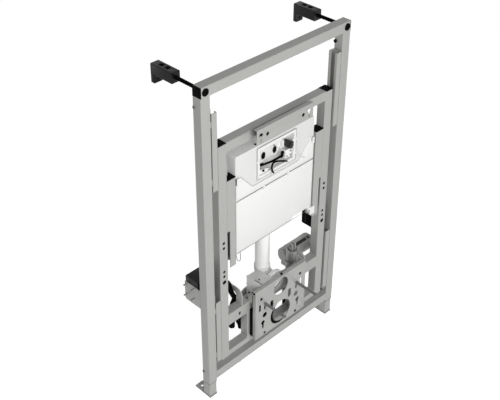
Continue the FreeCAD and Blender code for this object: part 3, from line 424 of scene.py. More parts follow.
def thread(radius, pitch, start, end, place, axis, sides=20, steps=6):
    """A threaded bar: radius less a triangle wave of (place / pitch - turn), tapered at both ends."""
    along = np.linspace(start, end, int(abs(end - start) / pitch * steps))
    turn = np.linspace(0, 1, sides, endpoint=False)
    wave = np.abs(2 * ((along[:, None] / pitch - turn) % 1) - 1)
    root = radius - THREAD_DEPTH * pitch
    to_end = np.minimum(np.abs(along - start), np.abs(along - end))[:, None]
    return skin(rings(along, np.minimum(radius - (radius - root) * wave, root + to_end), place, axis))


def hexagonal(radius, turns):
    """Reach of a hexagon at each turn: its flat's distance over the cosine of the angle from it."""
    off = (turns % (np.pi / 3)) - np.pi / 6
    return radius * math.cos(math.pi / 6) / np.cos(off)


def nut(radius, near, far, place, axis, sides=24):
    """A hexagonal nut: the lesser of a hexagon and a cone that takes off its corners at both faces."""
    shape = hexagonal(radius, np.linspace(0, 2 * np.pi, sides, endpoint=False))
    slope = NUT_SLOPE * radius
    along = [near, near + slope, far - slope, far]
    cone = np.array([radius - slope, radius, radius, radius - slope])
    return skin(rings(along, np.minimum(shape, cone[:, None]), place, axis))


print("a thread is cut", THREAD_DEPTH, "of its pitch deep")

# %% [markdown]
# A piece may be several shells in one mesh. Its faces are turned outwards, smooth where they meet at a
# flat angle and sharp elsewhere. A moulding or a cut sheet in the engineering model has sharp edges,
# so a merged copy of it gets a small bevel and stands in for it: its outer size stays the same.

# %% From grids to pieces
SHARP = math.radians(38)
SAME_PLACE, SAME_PLANE = 1e-6, math.radians(0.5)      # metres and turn below which two are one


def dress(name, mesh, slot, body, replaces=(), bevel=0.0, look=None):
    """Turn the faces outwards, shade them, bevel the edges by a given width and say what it rides on."""
    work = bmesh.new()
    work.from_mesh(mesh)
    bmesh.ops.recalc_face_normals(work, faces=work.faces)
    work.to_mesh(mesh)
    work.free()
    mesh.shade_smooth()
    piece = bpy.data.objects.new(name, mesh)
    scene.collection.objects.link(piece)
    if bevel:
        edge = piece.modifiers.new("edges", "BEVEL")
        edge.width = bevel / 1000.0
        edge.segments = 2
        edge.limit_method = "ANGLE"
        edge.angle_limit = SHARP
        edge.harden_normals = True
    else:
        mesh.set_sharp_from_angle(angle=SHARP)
    mesh.materials.clear()
    mesh.materials.append(MATERIALS[look or slot])
    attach(piece, body)
    if replaces:
        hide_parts(*replaces)
    return piece


def make(name, parts, slot, body, replaces=(), bevel=0.0, look=None):
    """Join the shells of a piece into one mesh: vertices, corners and the first corner of each face."""
    starts = np.cumsum([0] + [len(points) for points, _ in parts])
    faces = [block + start for start, (_, blocks) in zip(starts, parts) for block in blocks]
    sizes = np.concatenate([np.full(len(block), block.shape[1]) for block in faces])
    points = spot(np.concatenate([points for points, _ in parts]))
    mesh = bpy.data.meshes.new(name)
    mesh.vertices.add(len(points))
    mesh.vertices.foreach_set("co", points.astype(np.float32).ravel())
    mesh.loops.add(int(sizes.sum()))
    corners = np.concatenate([block.ravel() for block in faces])
    mesh.loops.foreach_set("vertex_index", corners.astype(np.int32))
    mesh.polygons.add(len(sizes))
    mesh.polygons.foreach_set("loop_start", (np.cumsum(sizes) - sizes).astype(np.int32))
    mesh.update(calc_edges=True)
    print("%-22s %6d faces" % (name, len(sizes)))
    return dress(name, mesh, slot, body, replaces, bevel, look)


def softened(node, bevel):
    """A merged copy of a node, each flat side made one face, with bevelled edges, in place of the node."""
    mesh = frame["nodes"][node].data.copy()
    work = bmesh.new()
    work.from_mesh(mesh)
    bmesh.ops.remove_doubles(work, verts=work.verts, dist=SAME_PLACE)
    bmesh.ops.dissolve_limit(work, angle_limit=SAME_PLANE, verts=work.verts, edges=work.edges)
    work.to_mesh(mesh)
    work.free()
    return dress(node + "_finished", mesh, SLOTS[node], BODIES[node], (node,), bevel, OTHER.get(node))


print("an edge is sharp from", round(math.degrees(SHARP)), "degrees")

# %% [markdown]
# Sheet steel has a softly rolled edge and mouldings have a small radius on every corner. Such an edge
# catches a thin line of light, and without it a piece looks cut out of paper. These copies of the
# nodes get one about as wide as a real edge: half a millimetre on sheet, and more on the mouldings.

# %% Bevelled sheets and mouldings
EDGES = {"cistern_tank": 2.5, "cistern_cover": 1.2, "cistern_collar": 1.2, "service_box": 0.8,
         "valve_block": 1.2, "wall_brackets": 1.5, "control_box": 2.0, "supply_box": 2.0,
         "end_plugs": 1.2, "post_caps": 0.8, "plate_pad": 1.0, "fixing_plate": 0.5,
         "hanger_bracket": 0.5, "support_arm": 0.6, "support_tab": 0.6, "elbow_shelf": 0.5,
         "control_bracket": 0.5, "actuator_motor": 1.5, "actuator_column": 0.8}
for node, width in EDGES.items():
    softened(node, width)
print("bevelled", len(EDGES), "nodes")

# %% [markdown]
# The bowl hangs on two threaded studs. A thread is a radius that falls and rises along the stud and
# once round it, so the grid of the bar only needs a triangle wave of both. Between the nuts the stud
# is plain, so that part is a lathe piece.

# %% Studs and nuts
STUD_X, STUD_R, STUD_PITCH = 90.0, 6.0, 1.75
SHANK_CUT, PAST_NUT = 0.4, 3.0      # the shank is thinner, and the thread ends inside the nut
NUT_R, NUT_T = 10.5, 10.0
low, high = limits("bowl_studs")
STUD_Z = (low[2] + high[2]) / 2
plate_low, plate_high = limits("fixing_plate")
PLATE_Y, PLATE_T = plate_low[1], 3.0
PLATE_BACK = PLATE_Y + PLATE_T
bar_low, bar_high = limits("support_crossbar")
NUTS = (PLATE_BACK, bar_high[1])
parts = []
for x in (-STUD_X, STUD_X):
    place = (x, 0, STUD_Z)
    parts.append(thread(STUD_R, STUD_PITCH, low[1], NUTS[0] + NUT_T + PAST_NUT, place, 1))
    parts.append(turned([(NUTS[0], STUD_R - SHANK_CUT), (NUTS[1], STUD_R - SHANK_CUT)], place, 1, 24))
    parts.append(thread(STUD_R, STUD_PITCH, NUTS[1] - PAST_NUT, high[1], place, 1))
    for y in NUTS:
        parts.append(nut(NUT_R, y, y + NUT_T, place, 1))
make("threaded_studs", parts, "galvanised", "carriage", ("bowl_studs",))

# %% [markdown]
# The top rail is held to the wall by two threaded rods. Their round heads sit on the rail's front and
# have a hexagon socket. A boolean could cut it, but one more ring of the lathe piece does the same: it
# lies inside the head's round ring and its reach is that of a hexagon.

# %% Wall rods
ROD_X, ROD_R, ROD_PITCH, ROD_CUT, INTO_RAIL = 345.0, 7.0, 2.0, 0.6, 2.0
HEAD_R, HEAD_T, HEAD_SIDES = 14.0, 3.0, 36
RIM_DROP, RIM_IN = 1.0, 1.4         # the slope round the head
SOCKET_R, SOCKET_DEEP, SOCKET_TAPER = 6.0, 2.4, 0.97
low, high = limits("wall_rods")
rail_back = limits("top_rail")[1][1]
ROD_Z = (low[2] + high[2]) / 2
socket = hexagonal(SOCKET_R, np.linspace(0, 2 * np.pi, HEAD_SIDES, endpoint=False))
round_ring = np.ones(HEAD_SIDES)
HEAD = ((0.0, HEAD_R * round_ring), (RIM_DROP - HEAD_T, HEAD_R * round_ring),
        (-HEAD_T, (HEAD_R - RIM_IN) * round_ring), (-HEAD_T, socket),
        (SOCKET_DEEP - HEAD_T, SOCKET_TAPER * socket))
parts = []
for x in (-ROD_X, ROD_X):
    place = (x, 0, ROD_Z)
    parts.append(skin(rings([y for y, _ in HEAD], np.array([reach for _, reach in HEAD]), place, 1)))
    parts.append(turned([(0, ROD_R - ROD_CUT), (rail_back, ROD_R - ROD_CUT)], place, 1, 24))
    parts.append(thread(ROD_R, ROD_PITCH, rail_back - INTO_RAIL, high[1], place, 1))
make("threaded_wall_rods", parts, "black_plastic", "frame", ("wall_rods",), look="deep_black")

# %% [markdown]
# Wherever two tubes meet, a thin bead of weld runs round the joint. It is a small tube along the
# edge of the joint whose radius ripples where one drop of metal lies on the last. Noise on a plain
# tube would look lumpy, while the drops of a real weld lie at even steps, so a sine makes them.

# %% Beads of weld
BEAD_R, BEAD_SIDES, RIPPLE, RIPPLE_STEP = 1.7, 6, 0.35, 3.2
RIPPLE_DRIFT = 0.37                 # shifts the drops, so that no two look alike
TRIM = 1.0                          # a bead lies this far inside the outline of its joint


def bead(axis, at, corner, opposite):
    """Weld round a rectangle across an axis: equal steps along it, radius with a sine ripple."""
    (u0, v0), (u1, v1) = corner, opposite
    corners = np.zeros((5, 3))
    corners[:, [i for i in range(3) if i != axis]] = ((u0, v0), (u1, v0), (u1, v1), (u0, v1), (u0, v0))
    corners[:, axis] = at
    path = spaced(corners, RIPPLE_STEP / 4)[:-1]
    step = np.arange(len(path))
    wave = np.sin(step * np.pi / 2 + np.cos(step * RIPPLE_DRIFT))
    return hose(path, BEAD_R + RIPPLE * wave, BEAD_SIDES, loop=True)


def rail_beads(node):
    """Beads at both ends of a crossbar."""
    low, high = limits(node)
    return [bead(0, x, low[1:] + TRIM, high[1:] - TRIM) for x in (low[0], high[0])]


def seam_bead(x, y, z, length):
    """A straight bead upwards from a place: its radius ripples as that of the others does."""
    path = spaced([(x, y, z), (x, y, z + length)], RIPPLE_STEP / 4)
    return hose(path, BEAD_R + RIPPLE * np.sin(np.arange(len(path)) * np.pi / 2), BEAD_SIDES)


print("one drop of weld every", RIPPLE_STEP, "mm")

# %% [markdown]
# The outer frame is welded where the bottom rail meets the uprights, and at the upper end of each
# upright, under the top rail. The beads start from the nodes' own sides, so they follow when a size
# of the engineering model changes.

# %% Welds of the outer frame
upright_low, upright_high = limits("right_upright")
parts = rail_beads("bottom_rail")
for side in (-1, 1):
    near, far = sorted((side * (upright_low[0] + TRIM), side * (upright_high[0] - TRIM)))
    parts.append(bead(2, upright_high[2], (near, TRIM), (far, upright_high[1] - TRIM)))
make("frame_welds", parts, "frame_metal", "frame")

# %% [markdown]
# The carriage has beads at both ends of its three crossbars and at both ends of the two plate posts.
# Three short seams on each side join the inner post to the carriage post: a seam that ran all the way
# would warp the tubes, so a welder leaves gaps.

# %% Welds of the carriage
POST_W = 40.0
SEAM_L, SEAM_STEP, SEAM_Z, SEAM_IN = 45.0, 110.0, 800.0, 0.4
parts = rail_beads("top_crossbar") + rail_beads("support_crossbar") + rail_beads("base_crossbar")
low, high = limits("plate_posts")
base_top = limits("base_crossbar")[1][2]
for x in (low[0], high[0] - POST_W):
    for z in (base_top, bar_low[2]):
        parts.append(bead(2, z, (x + TRIM, bar_low[1] + TRIM), (x + POST_W - TRIM, bar_high[1] - TRIM)))
inner_low, inner_high = limits("right_inner_post")
for k in range(3):
    for x in (-inner_high[0], inner_high[0]):
        parts.append(seam_bead(x, inner_low[1] + SEAM_IN, SEAM_Z + k * SEAM_STEP, SEAM_L))
make("carriage_welds", parts, "frame_metal", "carriage")

# %% [markdown]
# A bolt goes through each upright near both of its ends, with a nut on the inner side, and two screws
# sit below the bottom rail. Every screw in this lesson has a pan head, which is a lathe profile with a
# soft shoulder and a small hollow in its middle. At this size a cross or slot in it would not show.

# %% Bolts of the outer frame


def pan_head(place, axis, radius, rise):
    """A low screw head: a flat underside, a round shoulder and a nearly flat top, as a lathe profile."""
    profile = [(0, radius), (0.45 * rise, radius), (0.8 * rise, 0.86 * radius), (rise, 0.55 * radius),
               (rise, 0.22 * radius), (0.55 * rise, 0.2 * radius)]
    return turned(profile, place, axis, 20)


FRAME_X = upright_high[0]
RAIL_BOLT_Y, RAIL_BOLTS_Z = 33.0, (1321.0, 128.0)
BOLT_R, BOLT_RISE, BOLT_NUT_R, BOLT_NUT_T = 6.0, 4.0, 7.0, 6.0
UNDER_SCREWS = ((-195.0, 6.0), (160.0, 6.0))      # X and Y of the heads below the bottom rail
UNDER_R, UNDER_RISE = 5.0, 4.0
heads, nuts = [], []
for z in RAIL_BOLTS_Z:
    for side in (-1, 1):
        heads.append(pan_head((side * FRAME_X, RAIL_BOLT_Y, z), 0, BOLT_R, side * BOLT_RISE))
        near, far = sorted((side * upright_low[0], side * (upright_low[0] - BOLT_NUT_T)))
        nuts.append(nut(BOLT_NUT_R, near, far, (0, RAIL_BOLT_Y, z), 0))
make("rail_bolt_nuts", nuts, "black_plastic", "frame", look="deep_black")
bottom_z = limits("bottom_rail")[0][2]
heads += [pan_head((x, y, bottom_z), 2, UNDER_R, -UNDER_RISE) for x, y in UNDER_SCREWS]
make("frame_screws", heads, "galvanised", "frame")

# %% [markdown]
# Four long screws hold the control box from the left. Each is a thin shank that comes out of the
# bracket's side, with its head on the end, so both are lathe pieces about one axis.

# %% Screws of the control box
BOX_SCREWS = ((72.0, 533.0), (72.0, 484.0), (112.0, 533.0), (112.0, 484.0))      # Y and Z
BOX_SCREW_L, BOX_SCREW_R, BOX_HEAD_R, BOX_HEAD_RISE = 13.0, 2.2, 3.6, 2.4
parts = []
for y, z in BOX_SCREWS:
    parts.append(turned([(0, BOX_SCREW_R), (-BOX_SCREW_L, BOX_SCREW_R)], (-FRAME_X, y, z), 0, 16))
    parts.append(pan_head((-FRAME_X - BOX_SCREW_L, y, z), 0, BOX_HEAD_R, -BOX_HEAD_RISE))
make("control_box_screws", parts, "galvanised", "frame")

# %% [markdown]
# Black screws of several sizes stand out of the plate's left edge, and one more sits on its top fold.
# Each has its own place and radius, because no two of them are alike.

# %% Screws at the plate's left edge and on its top fold
EAR_SCREWS = ((3.7, 419.0, 4.5), (-15.0, 441.0, 3.5), (15.0, 384.5, 3.0))      # Y, Z, radius
EAR_RISE = 3.5
CORNER_Y, CORNER_DROP, CORNER_R, CORNER_RISE = -24.0, 6.0, 4.0, 5.0
FOLD_X, FOLD_Y, FOLD_R, FOLD_RISE = 12.0, -20.0, 5.5, 5.0
EDGE_X, PLATE_TOP = plate_high[0], plate_high[2]
parts = [pan_head((-EDGE_X, y, min(z, PLATE_TOP - r)), 0, r, -EAR_RISE) for y, z, r in EAR_SCREWS]
parts += [pan_head((-EDGE_X, CORNER_Y, PLATE_TOP - CORNER_DROP), 0, CORNER_R, -CORNER_RISE),
          pan_head((FOLD_X, FOLD_Y, PLATE_TOP), 2, FOLD_R, FOLD_RISE)]
make("plate_screws", parts, "black_plastic", "carriage", look="deep_black")

# %% [markdown]
# Behind the two round holes of the hanger bracket sit dark plugs, whose black also paints the shade
# in the holes, and behind its left keyhole a dark disc, which is painted shade seen through it. A
# black strip in the trough between the bracket and the crossbar is painted shade in that trough, and
# a small black clip lies on the tank beside it. What is round is a lathe piece, the rest a plate.

# %% Hanger bracket: plugs, painted shade disc and strip, and clip
PLUG_X, PLUG_DZ, PLUG_R, PLUG_LIP, PLUG_DEEP = 91.0, -18.0, 7.5, 2.0, 2.0
KEY_X, KEY_DZ, SHADE_DISC_R, SHADE_DISC_T = 123.0, -12.0, 12.0, 1.5
SHADE_STRIP_X, SHADE_STRIP_H, SHADE_STRIP_T, SHADE_STRIP_DROP, SHADE_STRIP_SINK = (-118.0, 74.0), 5.0, 1.2, 1.0, 0.2
TOP_CLIP, TOP_CLIP_RISE, TOP_CLIP_SINK = (-98.0, -91.0, 22.0, 29.0), 3.0, 0.5      # X and Y of its sides
top_low, top_high = limits("top_crossbar")
TOP_Z = top_high[2]
HANGER_BACK = limits("hanger_bracket")[0][1] + PLATE_T
profile = [(HANGER_BACK - 1.6, PLUG_R - 0.6), (HANGER_BACK - 1.0, PLUG_R),
           (HANGER_BACK, PLUG_R + PLUG_LIP), (HANGER_BACK + PLUG_DEEP, PLUG_R + PLUG_LIP)]
# painted shade: a dark disc seen through the left keyhole
disc = [(HANGER_BACK, SHADE_DISC_R), (HANGER_BACK + SHADE_DISC_T, SHADE_DISC_R)]
parts = [turned(disc, (-KEY_X, 0, TOP_Z + KEY_DZ), 1, 24)]
parts += [turned(profile, (side * PLUG_X, 0, TOP_Z + PLUG_DZ), 1, 24) for side in (-1, 1)]
# painted shade: a black strip in the trough between the bracket and the crossbar
strip = oblong(*SHADE_STRIP_X, TOP_Z - SHADE_STRIP_DROP - SHADE_STRIP_H, TOP_Z - SHADE_STRIP_DROP, 0.5)
parts.append(slab(strip, top_low[1] - SHADE_STRIP_T, top_low[1] + SHADE_STRIP_SINK, 1))
tank_low, tank_high = limits("cistern_tank")
parts.append(slab(oblong(*TOP_CLIP, 2.0), tank_high[2] - TOP_CLIP_SINK, tank_high[2] + TOP_CLIP_RISE, 2))
make("hanger_plugs_and_shade", parts, "black_plastic", "carriage", bevel=0.3, look="deep_black")

# %% [markdown]
# A small steel hook hangs in the left keyhole, in front of the dark disc. It is two plates with round
# corners, a wide one above and a narrow one below, which is all that shows of it.

# %% Hook in the left keyhole
HOOK = ((-8.0, 5.0, -12.0, -3.0, 4.0, 2.6),        # X and Z of the sides, rounding, how far it stands out
        (-2.8, 2.8, -18.0, -8.0, 2.0, 2.2))
HOOK_SINK = 1.0
x, z = -KEY_X, TOP_Z + KEY_DZ
parts = [slab(oblong(x + x0, x + x1, z + z0, z + z1, r), HANGER_BACK - reach, HANGER_BACK + HOOK_SINK, 1)
         for x0, x1, z0, z1, r, reach in HOOK]
make("keyhole_hook", parts, "frame_metal", "carriage", bevel=0.6)

# %% [markdown]
# The fixing holes of the posts and the plate are closed by black plugs with a small lip, whose black
# also paints the shade inside the steel. A black ring behind the waste hole, a little off its centre,
# and black sheets behind the slots on the left are painted shade: from the room they are what one
# sees of the dark space inside the steel. Holes that are left open would show the bright studio
# behind the frame.

# %% Plugs, and a ring and sheets of painted shade behind the steel
POST_HOLES = ((392.0, 8.0), (420.0, 5.0), (442.0, 5.0), (553.0, 5.0), (576.0, 5.0))      # height, radius
PLATE_HOLES = ((111.0, 384.0, 6.0), (90.0, 194.0, 5.5))      # X, Z, radius
POST_LIP, PLATE_LIP, POST_PLUG_DEEP = 1.0, 0.8, 2.6
WASTE_Z, WASTE_R = 250.0, 57.0
SHADE_RING_OUT, SHADE_RING_IN, SHADE_RING_X, SHADE_RING_DZ, SHADE_RING_T = 5.0, 1.0, 14.0, 2.0, 1.5
SHADE_SHEETS = ((-64.0, -38.0, 290.0, 347.0), (-120.0, -68.0, 205.0, 345.0))      # X and Z of the sides


def hole_plug(place, face, end, radius, lip):
    """A plug as a lathe profile: a lip over the steel's face and a shank just thinner than the hole."""
    profile = [(face - 0.5, radius + lip - 0.6), (face + 0.1, radius + lip), (end, radius - 0.1)]
    return turned(profile, place, 1, 24)


post_low, post_high = limits("right_carriage_post")
POST_X = (post_low[0] + post_high[0]) / 2
parts = []
for side in (-1, 1):
    for rise, r in POST_HOLES:
        place = (side * POST_X, 0, post_low[2] + rise)
        parts.append(hole_plug(place, post_low[1], post_low[1] + POST_PLUG_DEEP, r, POST_LIP))
    for x, z, r in PLATE_HOLES:
        parts.append(hole_plug((side * x, 0, z), PLATE_Y, PLATE_BACK, r, PLATE_LIP))
# painted shade: a black ring behind the waste hole and black sheets behind the slots
turn = np.linspace(0, 2 * np.pi, 72, endpoint=False)
circle = np.stack([np.cos(turn), np.sin(turn)], axis=1)
outer = circle * (WASTE_R + SHADE_RING_OUT) + (0, WASTE_Z)
inner = circle * (WASTE_R - SHADE_RING_IN) + (SHADE_RING_X, WASTE_Z + SHADE_RING_DZ)
parts.append(border(outer, inner, PLATE_BACK, PLATE_BACK + SHADE_RING_T, 1))
parts += [slab(oblong(*sides, 2.0), PLATE_BACK, PLATE_BACK + SHADE_RING_T, 1) for sides in SHADE_SHEETS]
make("hole_plugs_and_shade", parts, "black_plastic", "carriage", look="deep_black")

# %% [markdown]
# The service box is the only place where one looks into the cistern. Stiff black pipes cross it, bend
# up at the right and come over the lower lip, and two rubber plugs close the holes at its back. The
# pipes are moulded and fixed at their ends, so they are solid pieces and not loose hoses.

# %% Pipes and plugs in the service box
box_low, box_high = limits("service_box")
valve_low, valve_high = limits("valve_block")
barrel_low, barrel_high = limits("flush_barrel")
RIM_Y, BOX_BACK = barrel_low[1], valve_high[1]
ACROSS_R, ELBOW_R, OVER_R = 4.3, 5.6, 3.4
ACROSS = ((-58, 33, 956), (-36, 31, 953), (5, 30, 949), (34, 30, 949), (47, 30, 951))
ACROSS_END = ((-64, 38, 960), (-62, 32, 958.5), (-50, 32, 956), (-46, 33, 956))
ELBOW_BEND = ((42, 30, 949), (49, 30, 948), (50.5, 30, 951), (50.5, 30, 961), (52, 30, 963.5),
              (62, 30, 963))
OVER = ((60, 11, 930), (40, 10, 940), (22, 10, 949), (-4, 10, 959), (-20, 9, 959.5), (-27, 8, 948),
        (-28, 5, 935), (-25, 3, 926), (-20, 4.5, 920))
parts = [hose(spaced(eased(ACROSS), 1.5), ACROSS_R, 16),
         hose(spaced(eased(ACROSS_END), 1.0), ELBOW_R, 16),
         hose(spaced(eased(ELBOW_BEND, 2), 1.0), ELBOW_R, 16),
         hose(spaced(eased(OVER), 1.5), OVER_R, 14)]
BOX_PLUGS_X, BOX_PLUG_Z, BOX_PLUG_R, BOX_PLUG_H = (-23.0, 36.0), 972.0, 8.8, 14.5
for x in BOX_PLUGS_X:
    outline = oblong(x - BOX_PLUG_R, x + BOX_PLUG_R, BOX_PLUG_Z - BOX_PLUG_H, BOX_PLUG_Z + BOX_PLUG_H,
                     BOX_PLUG_R - 0.5)
    parts.append(slab(outline, BOX_BACK - 1.5, BOX_BACK + 2, 1))
PIPE_CLIPS = ((-69, -60, 942, 949, 11.0, 16.5), (-62, -50, 943, 959, 46.0, BOX_BACK),
              (-84, -76, 932, 938, 40, 50))      # X and Z of the sides, then front and back
parts += [slab(oblong(*sides, 2.0), near, far, 1) for *sides, near, far in PIPE_CLIPS]
# the back slot is a black slab: painted shade inside a slot of the box's back wall
BACK_SLOT = (28, 38, 990.5, 993.5)
parts.append(slab(oblong(*BACK_SLOT, 1.2), BOX_BACK - 0.8, BOX_BACK + 0.5, 1))
make("service_pipes", parts, "black_plastic", "carriage", bevel=0.4, look="deep_black")

# %% [markdown]
# The box's mouth has a white lip all round and a latch at each side. A white sheet in its lower left
# corner is painted light: it stands for the lit part of the box's floor. Several pieces need a
# rectangle a little inside or outside a node's outline, so this has a function: the node's sides
# moved inwards by the same step, with round corners.

# %% White lip of the service box


def inset(low, high, step, r, axes=(0, 2)):
    """Outline inside a box: each side moved inwards by step, or outwards where step is below zero."""
    first, second = axes
    return oblong(low[first] + step, high[first] - step, low[second] + step, high[second] - step, r)


LIP_IN, LIP_W, LIP_NEAR, LIP_FAR = 9.0, 2.5, 0.4, 9.0
LATCHES = ((box_low[0] - 5, box_low[0] + 24, 996, 1003), (box_high[0] - 20, box_high[0] + 5, 1010, 1017))
# painted light: a white sheet for the lit part of the box's floor
LIT_FLOOR_SHEET = ((-86.0, 927.0), (-57.7, 927.0), (-30.0, 941.0), (-60.0, 950.0), (-86.0, 954.0))
outer = inset(box_low, box_high, LIP_IN, 3.0)
inner = inset(box_low, box_high, LIP_IN + LIP_W, 2.0)
parts = [border(outer, inner, RIM_Y - LIP_NEAR, RIM_Y + LIP_FAR, 1)]
parts += [slab(oblong(*sides, 2.0), RIM_Y - 2.5, RIM_Y + 1, 1) for sides in LATCHES]
parts.append(slab(np.array(LIT_FLOOR_SHEET), RIM_Y + 7.0, RIM_Y + LIP_FAR, 1))
make("service_box_trim", parts, "white_plastic", "carriage", bevel=0.4)

# %% [markdown]
# The filling valve is held by three small screws and has three ribs on its top. Beside it stands the
# lifter of the flush: a flat dark block with a knob and two ribs on its left side. It takes the place
# of the plain round barrel of the engineering model.

# %% Valve and flush lifter
VALVE_SCREWS = ((9, 9), (26, 9), (26, 26))      # X and Z from the valve's corner
VALVE_SCREW_R, VALVE_SCREW_RISE = 3.2, 2.6
RIBS_X, RIB_W, RIB_FOOT, RIB_TOP = (3, 11, 19), 2.4, 34, 37
parts = [pan_head(valve_low + (x, 0, z), 1, VALVE_SCREW_R, -VALVE_SCREW_RISE) for x, z in VALVE_SCREWS]
for x in RIBS_X:
    rib = oblong(valve_low[0] + x, valve_low[0] + x + RIB_W, valve_low[1] + 1, barrel_high[1] - 1, 0.8)
    parts.append(slab(rib, valve_low[2] + RIB_FOOT, valve_low[2] + RIB_TOP, 2))
make("valve_screws", parts, "valve_grey", "carriage", bevel=0.3, look="seam_grey")
LIFTER_W, LIFTER_H, KNOB_Z, KNOB = 12.5, 26.0, 995.0, (3, 2, -9, 11)
LIFTER_Z = (barrel_low[2] + barrel_high[2]) / 2
left, right = barrel_high[0] - LIFTER_W, barrel_high[0]
block = oblong(left, right, LIFTER_Z - LIFTER_H / 2, LIFTER_Z + LIFTER_H / 2, 1.5)
knob = oblong(left + KNOB[0], right + KNOB[1], KNOB_Z + KNOB[2], KNOB_Z + KNOB[3], 2.5)
parts = [slab(block, barrel_low[1] + 1.5, barrel_high[1], 1),
         slab(knob, barrel_low[1] - 1.0, barrel_low[1] + 8, 1)]
for z in (LIFTER_Z - 7, LIFTER_Z + 7):
    rib = oblong(barrel_low[1] + 5, barrel_high[1] - 6, z - 0.8, z + 0.8, 0.6)
    parts.append(slab(rib, left - 0.6, left + 1, 0))
make("flush_lifter", parts, "valve_grey", "carriage", ("flush_barrel",), bevel=0.6)

# %% [markdown]
# The cistern's front is two white skins. A bead and a thin line below it follow the swept edge of the
# upper one. Clips hold the skins: two on the seam, one on each side and one at the lower right corner.
# White on white shows only by its edges, so the beads are thin hoses that catch the light, and the
# clips are plates with round corners.

# %% Cistern clips and ridges
collar_low, collar_high = limits("cistern_collar")
cover_low, cover_high = limits("cistern_cover")
SKIN_Y, seam_z, half = collar_low[1], cover_high[2], collar_high[0]
COLLAR_FOOT, COLLAR_HEAD, COLLAR_LOW = 121.0, 184.0, 33.0
collar_z = seam_z + COLLAR_LOW
SWEEP = ((-COLLAR_HEAD, collar_high[2]), (-COLLAR_FOOT, collar_z), (COLLAR_FOOT, collar_z),
         (COLLAR_HEAD, collar_high[2]))
EDGE_LINE = ((-half + 1, collar_high[2]), *SWEEP, (half - 1, collar_high[2]))


def skin_line(points, drop, out, step, radius):
    """A thin bead on the cistern's front: a hose along X and Z points, lower by drop and out by out."""
    return hose(spaced([(x, SKIN_Y - out, z - drop) for x, z in points], step), radius, 8)


SEAM_CLIP_X, SEAM_CLIP = 64.0, (-5, 5, -5, 11)                       # its sides about the seam
SIDE_CLIP, HOOK_L, HOOK_H = (191.0, 203.0, 949.0, 977.0), 8, 12      # X and Z of the right one
RIDGE = (96.0, 99.0, 660.0, 715.0)
LOWER_CLIP, CLIP_ARM = (190.0, 217.0, 617.0, 653.0), (183.0, 206.0, 634.0, 653.0)
parts = [skin_line(EDGE_LINE, 1.2, 0, 3.0, 1.2), skin_line(SWEEP, 7.0, 0, 3.0, 0.7)]
for side in (-1, 1):
    x0, x1, z0, z1 = SEAM_CLIP
    x = side * SEAM_CLIP_X
    outline = oblong(x + x0, x + x1, seam_z + z0, seam_z + z1, 2.0)
    parts.append(slab(outline, SKIN_Y - 2.2, SKIN_Y + 2, 1))
    x0, x1 = sorted((side * SIDE_CLIP[0], side * SIDE_CLIP[1]))
    z0, z1 = SIDE_CLIP[2:]
    parts.append(slab(oblong(x0, x1, z0, z1, 4.0), SKIN_Y - 4, SKIN_Y + 4, 1))
    hook = oblong(x0 - HOOK_L * (side > 0), x1 + HOOK_L * (side < 0), z0, z0 + HOOK_H, 3.0)
    parts.append(slab(hook, SKIN_Y - 3, SKIN_Y + 4, 1))
parts += [slab(oblong(*RIDGE, 1.0), SKIN_Y - 1.2, SKIN_Y + 1, 1),
          slab(oblong(*LOWER_CLIP, 4.0), SKIN_Y - 9, SKIN_Y - 5.3, 1),
          slab(oblong(*CLIP_ARM, 3.0), SKIN_Y - 7, SKIN_Y + 3, 1)]
make("cistern_clips", parts, "white_plastic", "carriage", bevel=0.5)

# %% [markdown]
# Dark lines paint the shade in the seams between the white skins: along the seam of the cover, along
# its lower edge and under the swept edge, and painted shadow lies below the seam clips and round the
# side clips. A real gap of that width would fill with light from the white skins, so the dark line is
# a thin hose of its own. A grey line round the service box paints the shade at its rim, and a wire
# loop hangs below the cistern's left corner.

# %% Painted shade in the seams and round the service box, and wire loop
SEAM_R, EDGE_R, OUT, EDGE_OUT = 1.0, 0.8, 0.5, 0.2
CLIP_SHADOW, SHADOW_W = (-4, 6.5, -7, -1), 1.3          # sides of the painted shadow below the seam clip, painted shadow round the side clip
SHADE_LINE_OUT, SHADE_LINE_IN, SHADE_LINE_RISE = 1.5, 0.5, 0.9
CLIP_SCREW = (187.0, 640.0)                       # X and Z
parts = [skin_line([(-half + 1, seam_z), (half - 1, seam_z)], 0, OUT, 8.0, SEAM_R),
         skin_line(SWEEP, 3.2, EDGE_OUT, 4.0, EDGE_R),
         skin_line([(-half + 1, cover_low[2] + 1), (half - 1, cover_low[2] + 1)], 0, OUT, 8.0, EDGE_R)]
for side in (-1, 1):
    x0, x1, z0, z1 = CLIP_SHADOW
    x = side * SEAM_CLIP_X
    outline = oblong(x + x0, x + x1, seam_z + z0, seam_z + z1, 1.5)
    parts.append(slab(outline, SKIN_Y - 1.2, SKIN_Y + 2, 1))
    x0, x1 = sorted((side * SIDE_CLIP[0], side * SIDE_CLIP[1]))
    z0, z1 = SIDE_CLIP[2:]
    shadow = oblong(x0 - SHADOW_W, x1 + SHADOW_W, z0 - SHADOW_W, z1 + SHADOW_W, 4.0)
    parts.append(slab(shadow, SKIN_Y - 2.5, SKIN_Y + 3, 1))
parts.append(pan_head((CLIP_SCREW[0], SKIN_Y - 7, CLIP_SCREW[1]), 1, 3.0, -2.0))
make("cistern_seam_shade", parts, "grey_plastic", "carriage", look="seam_grey")
